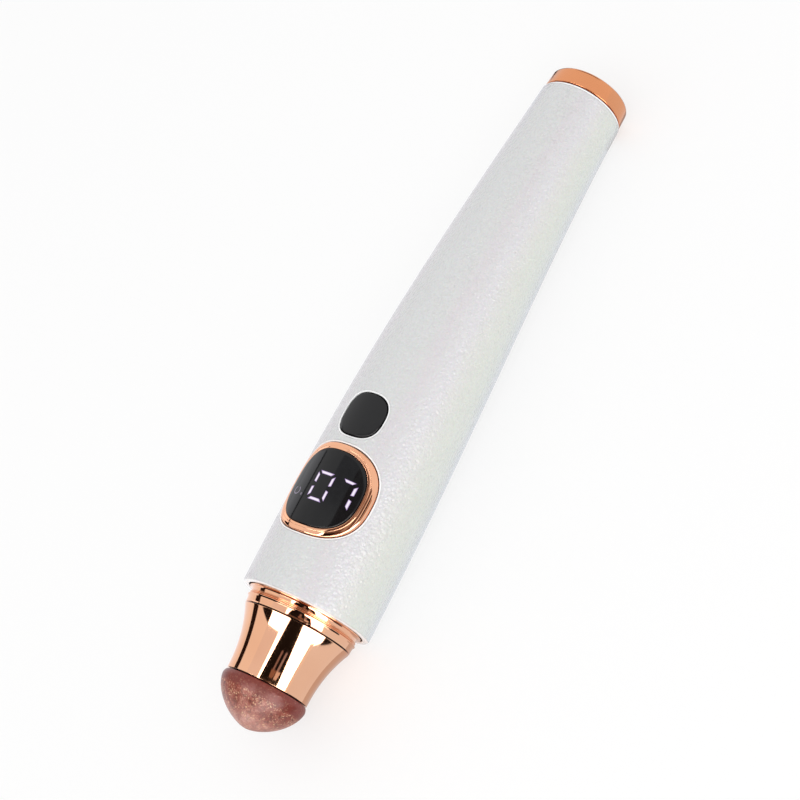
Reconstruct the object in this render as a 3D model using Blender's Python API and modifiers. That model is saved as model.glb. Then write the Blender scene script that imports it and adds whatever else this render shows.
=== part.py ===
"""Eye massager wand: a bowed, tapered barrel with a warmed stone head.

The wand lies on its underside with the display up. In the wand's own frame X
runs along the barrel from its mouth (x = 0) to its tail, Y runs across and Z
points out of the display, so the head's pieces have a negative x. The barrel
is a tube whose round sections follow a spine that droops towards the tail,
and it stands on its widest ring and on its tail end. The display's bezel, its
window and the button drop straight into openings in the barrel and take the
barrel's own curve on top. A tray slides in from the mouth and carries the
battery, the board and the motor. The stone is warmed from behind.
"""

import math

import bmesh
import bpy
import numpy as np
from mathutils import Vector

MM = 0.001

# Clearance between neighbours, and how far a cutter runs past what it cuts
GAP = 0.3 * MM
OVERRUN = 2.0 * MM

# Barrel: length, wall and outer radius at its mouth, quarters and tail
BARREL_LENGTH = 127.1 * MM
BARREL_WALL = 1.4 * MM
MOUTH_RADIUS = 14.5 * MM
QUARTER_RADIUS = 14.28 * MM
MIDDLE_RADIUS = 13.08 * MM
THREE_QUARTER_RADIUS = 11.29 * MM
TAIL_RADIUS = 9.67 * MM
MOUTH_LIP_ROUND = 0.8 * MM
TAIL_LIP_ROUND = 0.4 * MM
STATION_SHARES = (0.0, 0.25, 0.5, 0.75, 1.0)
SPINE_POWER = 3
BARREL_SIDES = 40
BARREL_STATIONS = 12
BORE_STATIONS = 5

# Display: bezel and window, measured straight down on the barrel
DISPLAY_CENTRE = 22.7 * MM
BEZEL_HALF = 10.4 * MM
BEZEL_BAND = 1.8 * MM
BEZEL_PROUD = 0.45 * MM
SHELF_WIDTH = 0.8 * MM
WINDOW_THICKNESS = 1.25 * MM
WINDOW_EDGE = 0.25 * MM
SQUIRCLE_POWER = 2.65
SQUIRCLE_SIDES = 44
CREST_SHARES = ((0.0, 0.3), (0.12, 0.75), (0.4, 1.0), (0.7, 0.9), (0.92, 0.4), (1.0, -0.2))
WINDOW_RING_SHARES = (0.75, 0.4)

# Button and the switch under it
BUTTON_SPACING = 1.75 * MM
BUTTON_HALF = 5.15 * MM
BUTTON_PROUD = 0.2 * MM
BUTTON_EDGE = 0.3 * MM
BUTTON_SKIN = 1.5 * MM
BUTTON_FLANGE = 0.85 * MM
BUTTON_FLANGE_THICKNESS = 0.7 * MM
BUTTON_WALL = 0.9 * MM
BUTTON_BOSS_HALF = 1.7 * MM
BUTTON_SIDES = 36
BUTTON_RING_SHARES = (0.35, 0.7)
SWITCH_WIDTH = 6.0 * MM
SWITCH_HEIGHT = 3.1 * MM
STEM_RADIUS = 1.7 * MM
STEM_STANDS = 1.1 * MM
STEM_SUNK = 0.9 * MM
PRESS_TRAVEL = 0.4 * MM

# Board: its top is the level that the tray's rails share
BOARD_TOP = 7.0 * MM
BOARD_THICKNESS = 1.0 * MM
BOARD_WIDTH = 14.0 * MM
BOARD_START = 13.0 * MM
BOARD_CORNER = 1.0 * MM

# Small parts on the board, by their distance from the screws
CHIP_BEHIND = 5.4 * MM
CHIP_WIDTH = 7.0 * MM
CHIP_HEIGHT = 1.2 * MM
COIL_BEHIND = 12.2 * MM
COIL_RADIUS = 2.3 * MM
COIL_HEIGHT = 2.2 * MM
COIL_FLANGE = 0.5 * MM
COIL_WAIST = 0.6 * MM
CAPACITOR_BEFORE = 2.8 * MM
CAPACITOR_OFFSET = 4.6 * MM
CAPACITOR_LENGTH = 2.2 * MM
CAPACITOR_WIDTH = 1.4 * MM
CAPACITOR_HEIGHT = 1.3 * MM
SMALL_EDGE = 0.2 * MM

# Screws that hold the board on the tray
SCREW_RADIUS = 0.8 * MM
SCREW_LENGTH = 3.2 * MM
SCREW_HEAD_RADIUS = 1.4 * MM
SCREW_HEAD_HEIGHT = 0.8 * MM
SCREW_SLOT_WIDTH = 0.35 * MM
SCREW_SLOT_DEPTH = 0.35 * MM
SCREW_OFFSET = 5.0 * MM

# Tray: a trough with bulkheads, its front block holds the motor
TRAY_START = 2.0 * MM
TRAY_WALL = 1.2 * MM
BLOCK_LENGTH = 6.5 * MM
MOTOR_BAY = 4.0 * MM
BULKHEAD = 2.0 * MM
BATTERY_LENGTH = 48.0 * MM
BATTERY_RADIUS = 7.0 * MM
BATTERY_EDGE = 0.6 * MM
BATTERY_TERMINAL_RADIUS = 2.4 * MM
BATTERY_TERMINAL = 0.8 * MM
BAY_COUNT = 3
TRAY_STATIONS = 4

# Vibration motor on the wand's axis
MOTOR_RADIUS = 5.0 * MM
MOTOR_LENGTH = 12.0 * MM
MOTOR_EDGE = 0.5 * MM
MOTOR_END_LENGTH = 1.4 * MM
MOTOR_END_RADIUS = 4.4 * MM
SLEEVE_WALL = 1.5 * MM
SLEEVE_LENGTH = 8.0 * MM
SHAFT_RADIUS = 0.75 * MM
SHAFT_SUNK = 2.6 * MM
WEIGHT_LENGTH = 4.5 * MM
WEIGHT_RADIUS = 5.4 * MM
WEIGHT_HUB = 2.2 * MM
WEIGHT_STANDOFF = 2.0 * MM
SHAFT_TIP = 0.4 * MM

# Trim ring in the barrel's mouth: cove, twin beads and a rounded band
TRIM_INSIDE = 1.7 * MM
TRIM_COVE = 1.5 * MM
TRIM_COVE_DEPTH = 0.75 * MM
TRIM_BEAD = 0.3 * MM
TRIM_BEAD_HEIGHT = 0.12 * MM
TRIM_BAND = 1.55 * MM
TRIM_BAND_HEIGHT = 0.45 * MM
TRIM_WALL = 1.9 * MM

# Head collar: a concave flare from the trim ring down to the stone
COLLAR_LENGTH = 13.25 * MM
COLLAR_TOP_RADIUS = 11.95 * MM
COLLAR_END_RADIUS = 9.15 * MM
COLLAR_WALL = 0.95 * MM
COLLAR_EDGE = 0.25 * MM
COLLAR_POWER = 2.2
COLLAR_STATIONS = 9
SPIGOT_WALL = 1.0 * MM
SPIGOT_LENGTH = 5.0 * MM
WEB_THICKNESS = 1.2 * MM
WEB_BORE = 5.6 * MM

# Stone, its seal and the warming parts behind it
STONE_SHOULDER_RADIUS = 9.1 * MM
STONE_RADIUS = 9.45 * MM
STONE_SHOULDER = 1.05 * MM
STONE_DOME = 8.1 * MM
STONE_POWER = 1.65
STONE_STATIONS = 9
STONE_SPIGOT_RADIUS = 6.8 * MM
STONE_SPIGOT = 2.0 * MM
STONE_SOCKET = 3.3 * MM
SPREADER_RADIUS = 5.0 * MM
SPREADER_FLANGE = 1.0 * MM
HEATER_THICKNESS = 0.4 * MM
THERMISTOR_RADIUS = 0.6 * MM
THERMISTOR_OFFSET = 2.4 * MM

# Tail cap with the charging socket
CAP_RADIUS = 9.48 * MM
CAP_END_RADIUS = 9.3 * MM
CAP_LENGTH = 4.5 * MM
CAP_ROUND = 0.8 * MM
CAP_END_WALL = 1.6 * MM
CAP_SKIRT_LENGTH = 6.0 * MM
CAP_BORE_RADIUS = 6.2 * MM
SOCKET_WIDTH = 8.94 * MM
SOCKET_HEIGHT = 3.26 * MM
SOCKET_LENGTH = 7.35 * MM
SOCKET_WALL = 0.3 * MM
SOCKET_RECESS = 0.3 * MM
TONGUE_WIDTH = 6.7 * MM
TONGUE_THICKNESS = 0.7 * MM
TONGUE_BASE = 2.2 * MM
CHARGER_WIDTH = 13.0 * MM
CHARGER_LENGTH = 8.0 * MM

# Wires and the heater's flat ribbon
WIRE_RADIUS = 0.4 * MM
WIRE_SPREAD = 1.6 * MM
RIBBON_WIDTH = 4.0 * MM
RIBBON_THICKNESS = 0.3 * MM
RIBBON_HEIGHT = 7.9 * MM

# Height of the charging leads over the charging board, by their distance along
LEAD_SHARES = ((0.0, 1.0), (0.2, 0.45), (0.45, 0.0), (0.75, 0.0), (1.0, 0.0))

# Facets, the sharp edges of shading, and the turn that lays a spun piece down
ROUND_SIDES = 24
SMALL_SIDES = 16
CORNER_STEPS = 3
SHARP_ANGLE = 35.0
ALONG_X = (0.0, math.radians(90.0), 0.0)
MERGE_DISTANCE = 0.001 * MM

RADIUS_CURVE = np.polyfit(
    [share * BARREL_LENGTH for share in STATION_SHARES],
    [MOUTH_RADIUS, QUARTER_RADIUS, MIDDLE_RADIUS, THREE_QUARTER_RADIUS, TAIL_RADIUS],
    len(STATION_SHARES) - 1,
)


def barrel_radius(x):
    """Outer radius of the barrel at the distance x from its mouth."""
    return float(np.polyval(RADIUS_CURVE, x))


def bore_radius(x):
    """Inner radius of the barrel at x."""
    return barrel_radius(x) - BARREL_WALL


def tray_radius(x):
    """Outer radius of the tray, a clearance inside the barrel's bore."""
    return bore_radius(x) - GAP


def standing_radius(radius):
    """Height of a round section's centre over the flat side it stands on."""
    return radius * math.cos(math.pi / BARREL_SIDES)


def barrel_places():
    """Distances from the mouth of the barrel's sections, tail first."""
    return np.linspace(BARREL_LENGTH, 0.0, BARREL_STATIONS + 2)[1:-1]


REST_HEIGHT = max(standing_radius(barrel_radius(x)) for x in barrel_places())


def find_tail_drop():
    """Drop of the spine at the tail that stands the cap's rim on the plane."""
    drop = 0.0
    for _ in range(BARREL_STATIONS):
        slope = math.atan2(SPINE_POWER * drop, BARREL_LENGTH)
        rim = (CAP_LENGTH - CAP_ROUND) * math.sin(slope)
        drop = REST_HEIGHT - rim - standing_radius(CAP_END_RADIUS) * math.cos(slope)
    return drop


TAIL_DROP = find_tail_drop()
TAIL_SLOPE = math.atan2(SPINE_POWER * TAIL_DROP, BARREL_LENGTH)

# Places worked out along the axis, from the mouth towards the head
TRIM_FRONT = -(TRIM_COVE + TRIM_BEAD + TRIM_BEAD + TRIM_BAND)
COLLAR_START = TRIM_FRONT - GAP
COLLAR_FRONT = COLLAR_START - COLLAR_LENGTH
STONE_BACK = COLLAR_FRONT - GAP
STONE_WIDEST = STONE_BACK - STONE_SHOULDER
STONE_TIP = STONE_WIDEST - STONE_DOME
SPIGOT_FACE = STONE_BACK + STONE_SPIGOT
FLANGE_FRONT = SPIGOT_FACE + GAP
FLANGE_BACK = FLANGE_FRONT + SPREADER_FLANGE
WEB_FRONT = FLANGE_BACK + GAP
WEB_BACK = WEB_FRONT + WEB_THICKNESS
HEATER_BACK = WEB_FRONT + HEATER_THICKNESS

# Places worked out along the axis, from the mouth towards the tail
BLOCK_END = TRAY_START + BLOCK_LENGTH
FIRST_BULKHEAD = BLOCK_END + MOTOR_BAY
BATTERY_START = FIRST_BULKHEAD + BULKHEAD + GAP
BATTERY_END = BATTERY_START + BATTERY_LENGTH
LAST_BULKHEAD = BATTERY_END + WIRE_RADIUS * 2 + GAP * 2
TRAY_END = LAST_BULKHEAD + BULKHEAD
BATTERY_DROP = tray_radius(BATTERY_END) - TRAY_WALL - GAP - BATTERY_RADIUS
MOTOR_END = BLOCK_END + GAP
MOTOR_START = MOTOR_END - MOTOR_LENGTH
WEIGHT_BACK = MOTOR_START - WEIGHT_STANDOFF
WEIGHT_FRONT = WEIGHT_BACK - WEIGHT_LENGTH
BOARD_BOTTOM = BOARD_TOP - BOARD_THICKNESS
BOARD_END = TRAY_END
BULKHEAD_TOP = BOARD_BOTTOM - GAP
ON_BOARD = BOARD_TOP + GAP
SWITCH_TOP = ON_BOARD + SWITCH_HEIGHT
STEM_TOP = SWITCH_TOP + STEM_STANDS
WINDOW_HALF = BEZEL_HALF - BEZEL_BAND - GAP
SHELF_HALF = BEZEL_HALF - BEZEL_BAND - SHELF_WIDTH
SHELF_RISE = -(WINDOW_THICKNESS + GAP)
BUTTON_CENTRE = DISPLAY_CENTRE + BEZEL_HALF + BUTTON_SPACING + BUTTON_HALF
BAY_PITCH = (TRAY_END - FIRST_BULKHEAD - BULKHEAD) / BAY_COUNT
SCREW_STATION = LAST_BULKHEAD - BAY_PITCH + BULKHEAD / 2

# Middle of the wand's whole length, which stands over the origin
CAP_FACE = standing_radius(CAP_END_RADIUS - CAP_ROUND)
CAP_REACH = CAP_LENGTH * math.cos(TAIL_SLOPE) + CAP_FACE * math.sin(TAIL_SLOPE)
MIDDLE = (STONE_TIP + BARREL_LENGTH + CAP_REACH) / 2


def spine_drop(x):
    """How far the spine lies under the head's axis at x."""
    return TAIL_DROP * max(x / BARREL_LENGTH, 0.0) ** SPINE_POWER


def spine_slope(x):
    """Downward angle of the spine at x."""
    share = max(x / BARREL_LENGTH, 0.0) ** (SPINE_POWER - 1)
    return math.atan(SPINE_POWER * TAIL_DROP / BARREL_LENGTH * share)


def surface_height(x, y, rise):
    """Height over the head's axis of the barrel's surface, raised by rise."""
    radius = barrel_radius(x) + rise
    return math.sqrt(max(radius * radius - y * y, 0.0)) - spine_drop(x)


def clear_scene():
    """Remove every object so that the file starts empty."""
    for item in list(bpy.data.objects):
        bpy.data.objects.remove(item, do_unlink=True)


def make_collection(name):
    """A new collection in the scene."""
    collection = bpy.data.collections.new(name)
    bpy.context.scene.collection.children.link(collection)
    return collection


def make_material(name, colour, roughness, metallic=0.0):
    """Principled material with a colour, a roughness and a metallic value."""
    material = bpy.data.materials.new(name)
    material.use_nodes = True
    shader = material.node_tree.nodes["Principled BSDF"]
    shader.inputs["Base Color"].default_value = (*colour, 1.0)
    shader.inputs["Roughness"].default_value = roughness
    shader.inputs["Metallic"].default_value = metallic
    material.diffuse_color = (*colour, 1.0)
    return material


clear_scene()
PARTS = make_collection("eye_massager_wand")
CUTTERS = make_collection("cutters")

PEARL = make_material("pearl coating", (0.72, 0.71, 0.70), 0.35)
ROSE_GOLD = make_material("rose gold plating", (0.80, 0.42, 0.28), 0.15, 1.0)
BLACK_GLOSS = make_material("black gloss plastic", (0.02, 0.02, 0.02), 0.12)
STONE = make_material("red brown stone", (0.30, 0.11, 0.09), 0.25)
BOARD_GREEN = make_material("green circuit board", (0.02, 0.14, 0.06), 0.5)
TRAY_WHITE = make_material("white plastic", (0.60, 0.60, 0.58), 0.5)
SILVER = make_material("bright steel", (0.60, 0.60, 0.60), 0.3, 1.0)
ALUMINIUM = make_material("aluminium", (0.70, 0.70, 0.71), 0.35, 1.0)
RUBBER = make_material("black rubber", (0.03, 0.03, 0.03), 0.7)
BATTERY_BLUE = make_material("battery wrap", (0.04, 0.12, 0.35), 0.4)
HEATER_AMBER = make_material("amber film", (0.55, 0.25, 0.04), 0.3)
CHIP_BLACK = make_material("chip black", (0.03, 0.03, 0.03), 0.45)
WIRE_RED = make_material("red wire", (0.50, 0.03, 0.02), 0.4)
WIRE_BLACK = make_material("black wire", (0.02, 0.02, 0.02), 0.4)


def make_empty(name, location, slope=0.0, parent=None):
    """An empty whose X axis points down by the slope."""
    empty = bpy.data.objects.new(name, None)
    empty.empty_display_size = BEZEL_HALF
    empty.location = location
    empty.rotation_euler = (0.0, slope, 0.0)
    empty.parent = parent
    PARTS.objects.link(empty)
    return empty


WAND_AXIS = make_empty("wand_axis", (-MIDDLE, 0.0, REST_HEIGHT))
TAIL_AXIS = make_empty("tail_axis", (BARREL_LENGTH, 0.0, -TAIL_DROP), TAIL_SLOPE, WAND_AXIS)


def place(name, data, location=(0.0, 0.0, 0.0), turn=(0.0, 0.0, 0.0), parent=None):
    """A new object from a mesh or curve, carried by the wand's axis."""
    item = bpy.data.objects.new(name, data)
    item.location = location
    item.rotation_euler = turn
    item.parent = parent or WAND_AXIS
    PARTS.objects.link(item)
    return item


def finish(item, material, smooth=True):
    """Give the object its material, and smooth shading if it is round."""
    item.data.materials.append(material)
    if smooth and isinstance(item.data, bpy.types.Mesh):
        item.data.shade_smooth()
        item.data.set_sharp_from_angle(angle=math.radians(SHARP_ANGLE))
    return item


def as_cutter(item):
    """Move an object to the cutters and keep it out of the part."""
    PARTS.objects.unlink(item)
    CUTTERS.objects.link(item)
    item.hide_render = True
    item.display_type = "WIRE"
    return item


def combine(target, tool, operation="DIFFERENCE"):
    """Cut the tool out of the target, or join it on."""
    modifier = target.modifiers.new(tool.name, "BOOLEAN")
    modifier.operation = operation
    modifier.object = as_cutter(tool)
    modifier.solver = "EXACT"
    return target


def corner(centre, radius, first, last, steps=CORNER_STEPS):
    """Points of a round corner between two angles in degrees."""
    angles = np.radians(np.linspace(first, last, steps + 1))
    return [(centre[0] + radius * math.cos(a), centre[1] + radius * math.sin(a)) for a in angles]


def turned(name, outline, sides=ROUND_SIDES, location=(0.0, 0.0, 0.0), turn=ALONG_X,
           parent=None, closed=False):
    """Turned piece: an outline of (along, radius) points spun round its axis.

    The outline runs down its outer side, from the far end to the near end. A
    closed outline is a ring. The first side stands half a step off, so that
    the piece has a flat side underneath.
    """
    half_step = math.pi / sides
    mesh = bpy.data.meshes.new(name)
    points = [(r * math.cos(half_step), r * math.sin(half_step), along) for along, r in outline]
    edges = [(i, i + 1) for i in range(len(points) - 1)]
    if closed:
        edges.append((len(points) - 1, 0))
    mesh.from_pydata(points, edges, [])
    item = place(name, mesh, location, turn, parent)
    screw = item.modifiers.new("spin", "SCREW")
    screw.axis = "Z"
    screw.angle = math.radians(360.0)
    screw.steps = sides
    screw.render_steps = sides
    screw.use_merge_vertices = True
    screw.merge_threshold = MERGE_DISTANCE
    screw.use_normal_calculate = False
    return item


def to_mesh(item):
    """Replace an object's modifiers or curve with the mesh they make."""
    bpy.context.view_layer.update()
    evaluated = item.evaluated_get(bpy.context.evaluated_depsgraph_get())
    mesh = bpy.data.meshes.new_from_object(evaluated)
    body = bmesh.new()
    body.from_mesh(mesh)
    bmesh.ops.remove_doubles(body, verts=body.verts, dist=MERGE_DISTANCE)
    bmesh.ops.recalc_face_normals(body, faces=body.faces)
    if body.calc_volume(signed=True) < 0:
        bmesh.ops.reverse_faces(body, faces=body.faces)
    body.to_mesh(mesh)
    body.free()
    mesh.name = item.name
    if item.type == "CURVE":
        return replace_curve(item, mesh)
    item.modifiers.clear()
    item.data = mesh
    return item


def replace_curve(item, mesh):
    """A mesh object in the curve's place."""
    name = item.name
    location = item.location.copy()
    turn = item.rotation_euler.copy()
    parent = item.parent
    bpy.data.objects.remove(item, do_unlink=True)
    return place(name, mesh, location, turn, parent)


def bow(item):
    """Bend a turned piece that lies on the head's axis onto the spine.

    The piece's Z is the distance from the mouth. Each section moves to its
    place on the spine and turns with it.
    """
    for vertex in item.data.vertices:
        along = vertex.co.z
        slope = spine_slope(along)
        up = -vertex.co.x
        vertex.co.z = along + up * math.sin(slope)
        vertex.co.x = spine_drop(along) - up * math.cos(slope)
    return item


def box(name, size, centre, edge=0.0, parent=None):
    """A box from its three sizes and its centre, with bevelled edges."""
    mesh = bpy.data.meshes.new(name)
    body = bmesh.new()
    bmesh.ops.create_cube(body, size=1.0)
    bmesh.ops.scale(body, vec=Vector(size), verts=body.verts)
    body.to_mesh(mesh)
    body.free()
    item = place(name, mesh, centre, parent=parent)
    if edge:
        bevel = item.modifiers.new("edges", "BEVEL")
        bevel.width = edge
    return item


def span_box(name, low, high, edge=0.0, parent=None):
    """A box between its low and its high corner."""
    size = [b - a for a, b in zip(low, high)]
    centre = [(a + b) / 2 for a, b in zip(low, high)]
    return box(name, size, centre, edge, parent)


def plate(name, outlines, thickness, centre, turn=(0.0, 0.0, 0.0), parent=None):
    """A flat plate from closed outlines, the inner ones being holes."""
    curve = bpy.data.curves.new(name, "CURVE")
    curve.dimensions = "2D"
    curve.fill_mode = "BOTH"
    curve.extrude = thickness / 2
    for outline in outlines:
        spline = curve.splines.new("POLY")
        spline.points.add(len(outline) - 1)
        for point, (x, y) in zip(spline.points, outline):
            point.co = (x, y, 0.0, 1.0)
        spline.use_cyclic_u = True
    return to_mesh(place(name, curve, centre, turn, parent))


def wire(name, points, steps=3):
    """A round wire along a smooth run through the points."""
    curve = bpy.data.curves.new(name, "CURVE")
    curve.dimensions = "3D"
    curve.bevel_depth = WIRE_RADIUS
    curve.bevel_resolution = 2
    curve.use_fill_caps = True
    spline = curve.splines.new("POLY")
    run = smooth_run(points, steps)
    spline.points.add(len(run) - 1)
    for point, place_of in zip(spline.points, run):
        point.co = (*place_of, 1.0)
    return place(name, curve)


def smooth_run(points, steps):
    """Points of a smooth curve through the given points."""
    knots = np.array([points[0], *points, points[-1]], dtype=float)
    run = []
    for i in range(1, len(knots) - 2):
        before, start, end, after = knots[i - 1 : i + 3]
        for share in np.linspace(0.0, 1.0, steps, endpoint=False):
            run.append(
                start
                + (end - before) * share / 2
                + (before - 2.5 * start + 2 * end - after / 2) * share**2
                + (1.5 * start - before / 2 - 1.5 * end + after / 2) * share**3
            )
    run.append(knots[-1])
    return run


def circle(radius, sides=SMALL_SIDES, centre=(0.0, 0.0)):
    """Points of a circle."""
    return [
        (centre[0] + radius * math.cos(angle), centre[1] + radius * math.sin(angle))
        for angle in np.linspace(0.0, 2 * math.pi, sides, endpoint=False)
    ]


def rounded_rectangle(width, height, radius, steps=CORNER_STEPS):
    """Points of a rectangle with round corners, about its centre."""
    x, y = width / 2 - radius, height / 2 - radius
    points = []
    for centre, first in (((x, y), 0.0), ((-x, y), 90.0), ((-x, -y), 180.0), ((x, -y), 270.0)):
        points += corner(centre, radius, first, first + 90.0, steps)
    return points


def squircle(half, sides):
    """Points of a rounded square that reaches half from its centre."""
    points = []
    for angle in np.linspace(0.0, 2 * math.pi, sides, endpoint=False) + math.pi / sides:
        c, s = math.cos(angle), math.sin(angle)
        reach = (abs(c) ** SQUIRCLE_POWER + abs(s) ** SQUIRCLE_POWER) ** (-1 / SQUIRCLE_POWER)
        points.append((half * reach * c, half * reach * s))
    return points


def draped(rise):
    """Level that follows the barrel's surface, raised by rise."""
    return lambda x, y: surface_height(x, y, rise)


def flat(height):
    """Level at one height over the head's axis."""
    return lambda x, y: height


def squircle_body(name, centre_x, rings, sides=SQUIRCLE_SIDES, closed=False):
    """Body lofted through rounded squares that take their height from a level.

    Each ring is (half width, level). A closed loft returns to its first ring.
    An open one ends in a point at the middle of its first and its last ring.
    """
    mesh = bpy.data.meshes.new(name)
    body = bmesh.new()
    loops = []
    for half, level in rings:
        loops.append([
            body.verts.new((x, y, level(centre_x + x, y))) for x, y in squircle(half, sides)
        ])
    pairs = list(zip(loops, loops[1:]))
    if closed:
        pairs.append((loops[-1], loops[0]))
    for upper, lower in pairs:
        for i in range(sides):
            j = (i + 1) % sides
            body.faces.new((upper[i], lower[i], lower[j], upper[j]))
    if not closed:
        top = body.verts.new((0.0, 0.0, rings[0][1](centre_x, 0.0)))
        bottom = body.verts.new((0.0, 0.0, rings[-1][1](centre_x, 0.0)))
        for i in range(sides):
            j = (i + 1) % sides
            body.faces.new((top, loops[0][i], loops[0][j]))
            body.faces.new((bottom, loops[-1][j], loops[-1][i]))
    body.to_mesh(mesh)
    body.free()
    return place(name, mesh, (centre_x, 0.0, 0.0))


def opening(name, centre_x, half):
    """Cutter for a straight opening in the top of the barrel."""
    high = MOUTH_RADIUS + OVERRUN
    rings = [(half, flat(high)), (half, flat(BOARD_BOTTOM))]
    return squircle_body(name, centre_x, rings)


def make_barrel():
    """Bowed tapered tube with openings for the display and the button."""
    end = BARREL_LENGTH
    tail = barrel_radius(end) - TAIL_LIP_ROUND
    mouth = barrel_radius(MOUTH_LIP_ROUND) - MOUTH_LIP_ROUND
    outline = [(x, r) for r, x in corner((tail, end - TAIL_LIP_ROUND), TAIL_LIP_ROUND, 90.0, 0.0)]
    outline += [(x, barrel_radius(x)) for x in barrel_places()]
    outline += [(x, r) for r, x in corner((mouth, MOUTH_LIP_ROUND), MOUTH_LIP_ROUND, 0.0, -90.0)]
    for x in np.linspace(0.0, end, BORE_STATIONS):
        outline.append((x, bore_radius(x)))
    barrel = bow(to_mesh(turned("barrel", outline, BARREL_SIDES, closed=True)))
    combine(barrel, opening("display_opening", DISPLAY_CENTRE, BEZEL_HALF + GAP))
    combine(barrel, opening("button_opening", BUTTON_CENTRE, BUTTON_HALF + GAP))
    finish(barrel, PEARL)


def make_bezel():
    """Frame round the display: a rounded crest, and a shelf for the window."""
    rings = [(BEZEL_HALF, flat(BOARD_TOP + GAP))]
    for across, height in CREST_SHARES:
        rings.append((BEZEL_HALF - across * BEZEL_BAND, draped(height * BEZEL_PROUD)))
    rings.append((BEZEL_HALF - BEZEL_BAND, draped(SHELF_RISE)))
    rings.append((SHELF_HALF, draped(SHELF_RISE)))
    rings.append((SHELF_HALF, flat(BOARD_TOP + GAP)))
    rings.reverse()
    finish(squircle_body("display_bezel", DISPLAY_CENTRE, rings, closed=True), ROSE_GOLD)


def make_window():
    """Black window that lies in the bezel and takes the barrel's curve."""
    inner = WINDOW_HALF - WINDOW_EDGE
    rings = [(share * inner, draped(0.0)) for share in reversed(WINDOW_RING_SHARES)]
    rings.append((inner, draped(0.0)))
    rings.append((WINDOW_HALF, draped(-WINDOW_EDGE)))
    rings.append((WINDOW_HALF, draped(-WINDOW_THICKNESS)))
    rings += [(share * WINDOW_HALF, draped(-WINDOW_THICKNESS)) for share in WINDOW_RING_SHARES]
    finish(squircle_body("display_window", DISPLAY_CENTRE, rings), BLACK_GLOSS)


def make_button():
    """Push button with a bevelled edge, a flange behind the wall and a boss."""
    inner = BUTTON_HALF - BUTTON_EDGE
    flange = -(BARREL_WALL + GAP + GAP / 4)
    under = flange - BUTTON_FLANGE_THICKNESS
    hollow = BUTTON_HALF - BUTTON_WALL
    rings = [(share * inner, draped(BUTTON_PROUD)) for share in BUTTON_RING_SHARES]
    rings.append((inner, draped(BUTTON_PROUD)))
    rings.append((BUTTON_HALF, draped(BUTTON_PROUD - BUTTON_EDGE)))
    rings.append((BUTTON_HALF, draped(flange)))
    rings.append((BUTTON_HALF + BUTTON_FLANGE, draped(flange)))
    rings.append((BUTTON_HALF + BUTTON_FLANGE, draped(under)))
    rings.append((hollow, draped(under)))
    rings.append((hollow, draped(BUTTON_PROUD - BUTTON_SKIN)))
    rings.append((BUTTON_BOSS_HALF, draped(BUTTON_PROUD - BUTTON_SKIN)))
    rings.append((BUTTON_BOSS_HALF, flat(STEM_TOP + GAP)))
    finish(squircle_body("power_button", BUTTON_CENTRE, rings, BUTTON_SIDES), BLACK_GLOSS)


def make_switch():
    """Tactile switch under the button, with its stem in a bore."""
    half = SWITCH_WIDTH / 2
    body = span_box(
        "switch_body",
        (BUTTON_CENTRE - half, -half, ON_BOARD),
        (BUTTON_CENTRE + half, half, SWITCH_TOP),
        SMALL_EDGE,
    )
    floor = SWITCH_TOP - STEM_SUNK - PRESS_TRAVEL - GAP
    bore = turned(
        "switch_bore",
        solid_outline(floor, SWITCH_TOP + OVERRUN, STEM_RADIUS + GAP),
        SMALL_SIDES,
        (BUTTON_CENTRE, 0.0, 0.0),
        turn=(0.0, 0.0, 0.0),
    )
    finish(combine(body, bore), SILVER, smooth=False)
    low = SWITCH_TOP - STEM_SUNK
    stem = turned(
        "switch_stem",
        solid_outline(0.0, STEM_TOP - low, STEM_RADIUS, SMALL_EDGE),
        SMALL_SIDES,
        (BUTTON_CENTRE, 0.0, low),
        turn=(0.0, 0.0, 0.0),
    )
    finish(stem, BLACK_GLOSS)


def solid_outline(low, high, radius, edge=0.0):
    """Outline of a solid cylinder, with its two edges broken."""
    if not edge:
        return [(high, 0.0), (high, radius), (low, radius), (low, 0.0)]
    return [
        (high, 0.0), (high, radius - edge), (high - edge, radius),
        (low + edge, radius), (low, radius - edge), (low, 0.0),
    ]


def ring_outline(low, high, outer, inner):
    """Closed outline of a plain ring."""
    return [(high, outer), (low, outer), (low, inner), (high, inner)]


def screw_places():
    """Where the two screws stand, on the bulkhead behind the button."""
    return {
        "board_screw_left": (SCREW_STATION, SCREW_OFFSET),
        "board_screw_right": (SCREW_STATION, -SCREW_OFFSET),
    }


def make_board():
    """Circuit board on the tray, with a hole for each screw."""
    centre = (BOARD_START + BOARD_END) / 2
    outlines = [rounded_rectangle(BOARD_END - BOARD_START, BOARD_WIDTH, BOARD_CORNER)]
    for x, y in screw_places().values():
        outlines.append(circle(SCREW_RADIUS + GAP, SMALL_SIDES, (x - centre, y)))
    middle = (BOARD_TOP + BOARD_BOTTOM) / 2
    finish(plate("main_board", outlines, BOARD_THICKNESS, (centre, 0.0, middle)), BOARD_GREEN, False)


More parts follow.
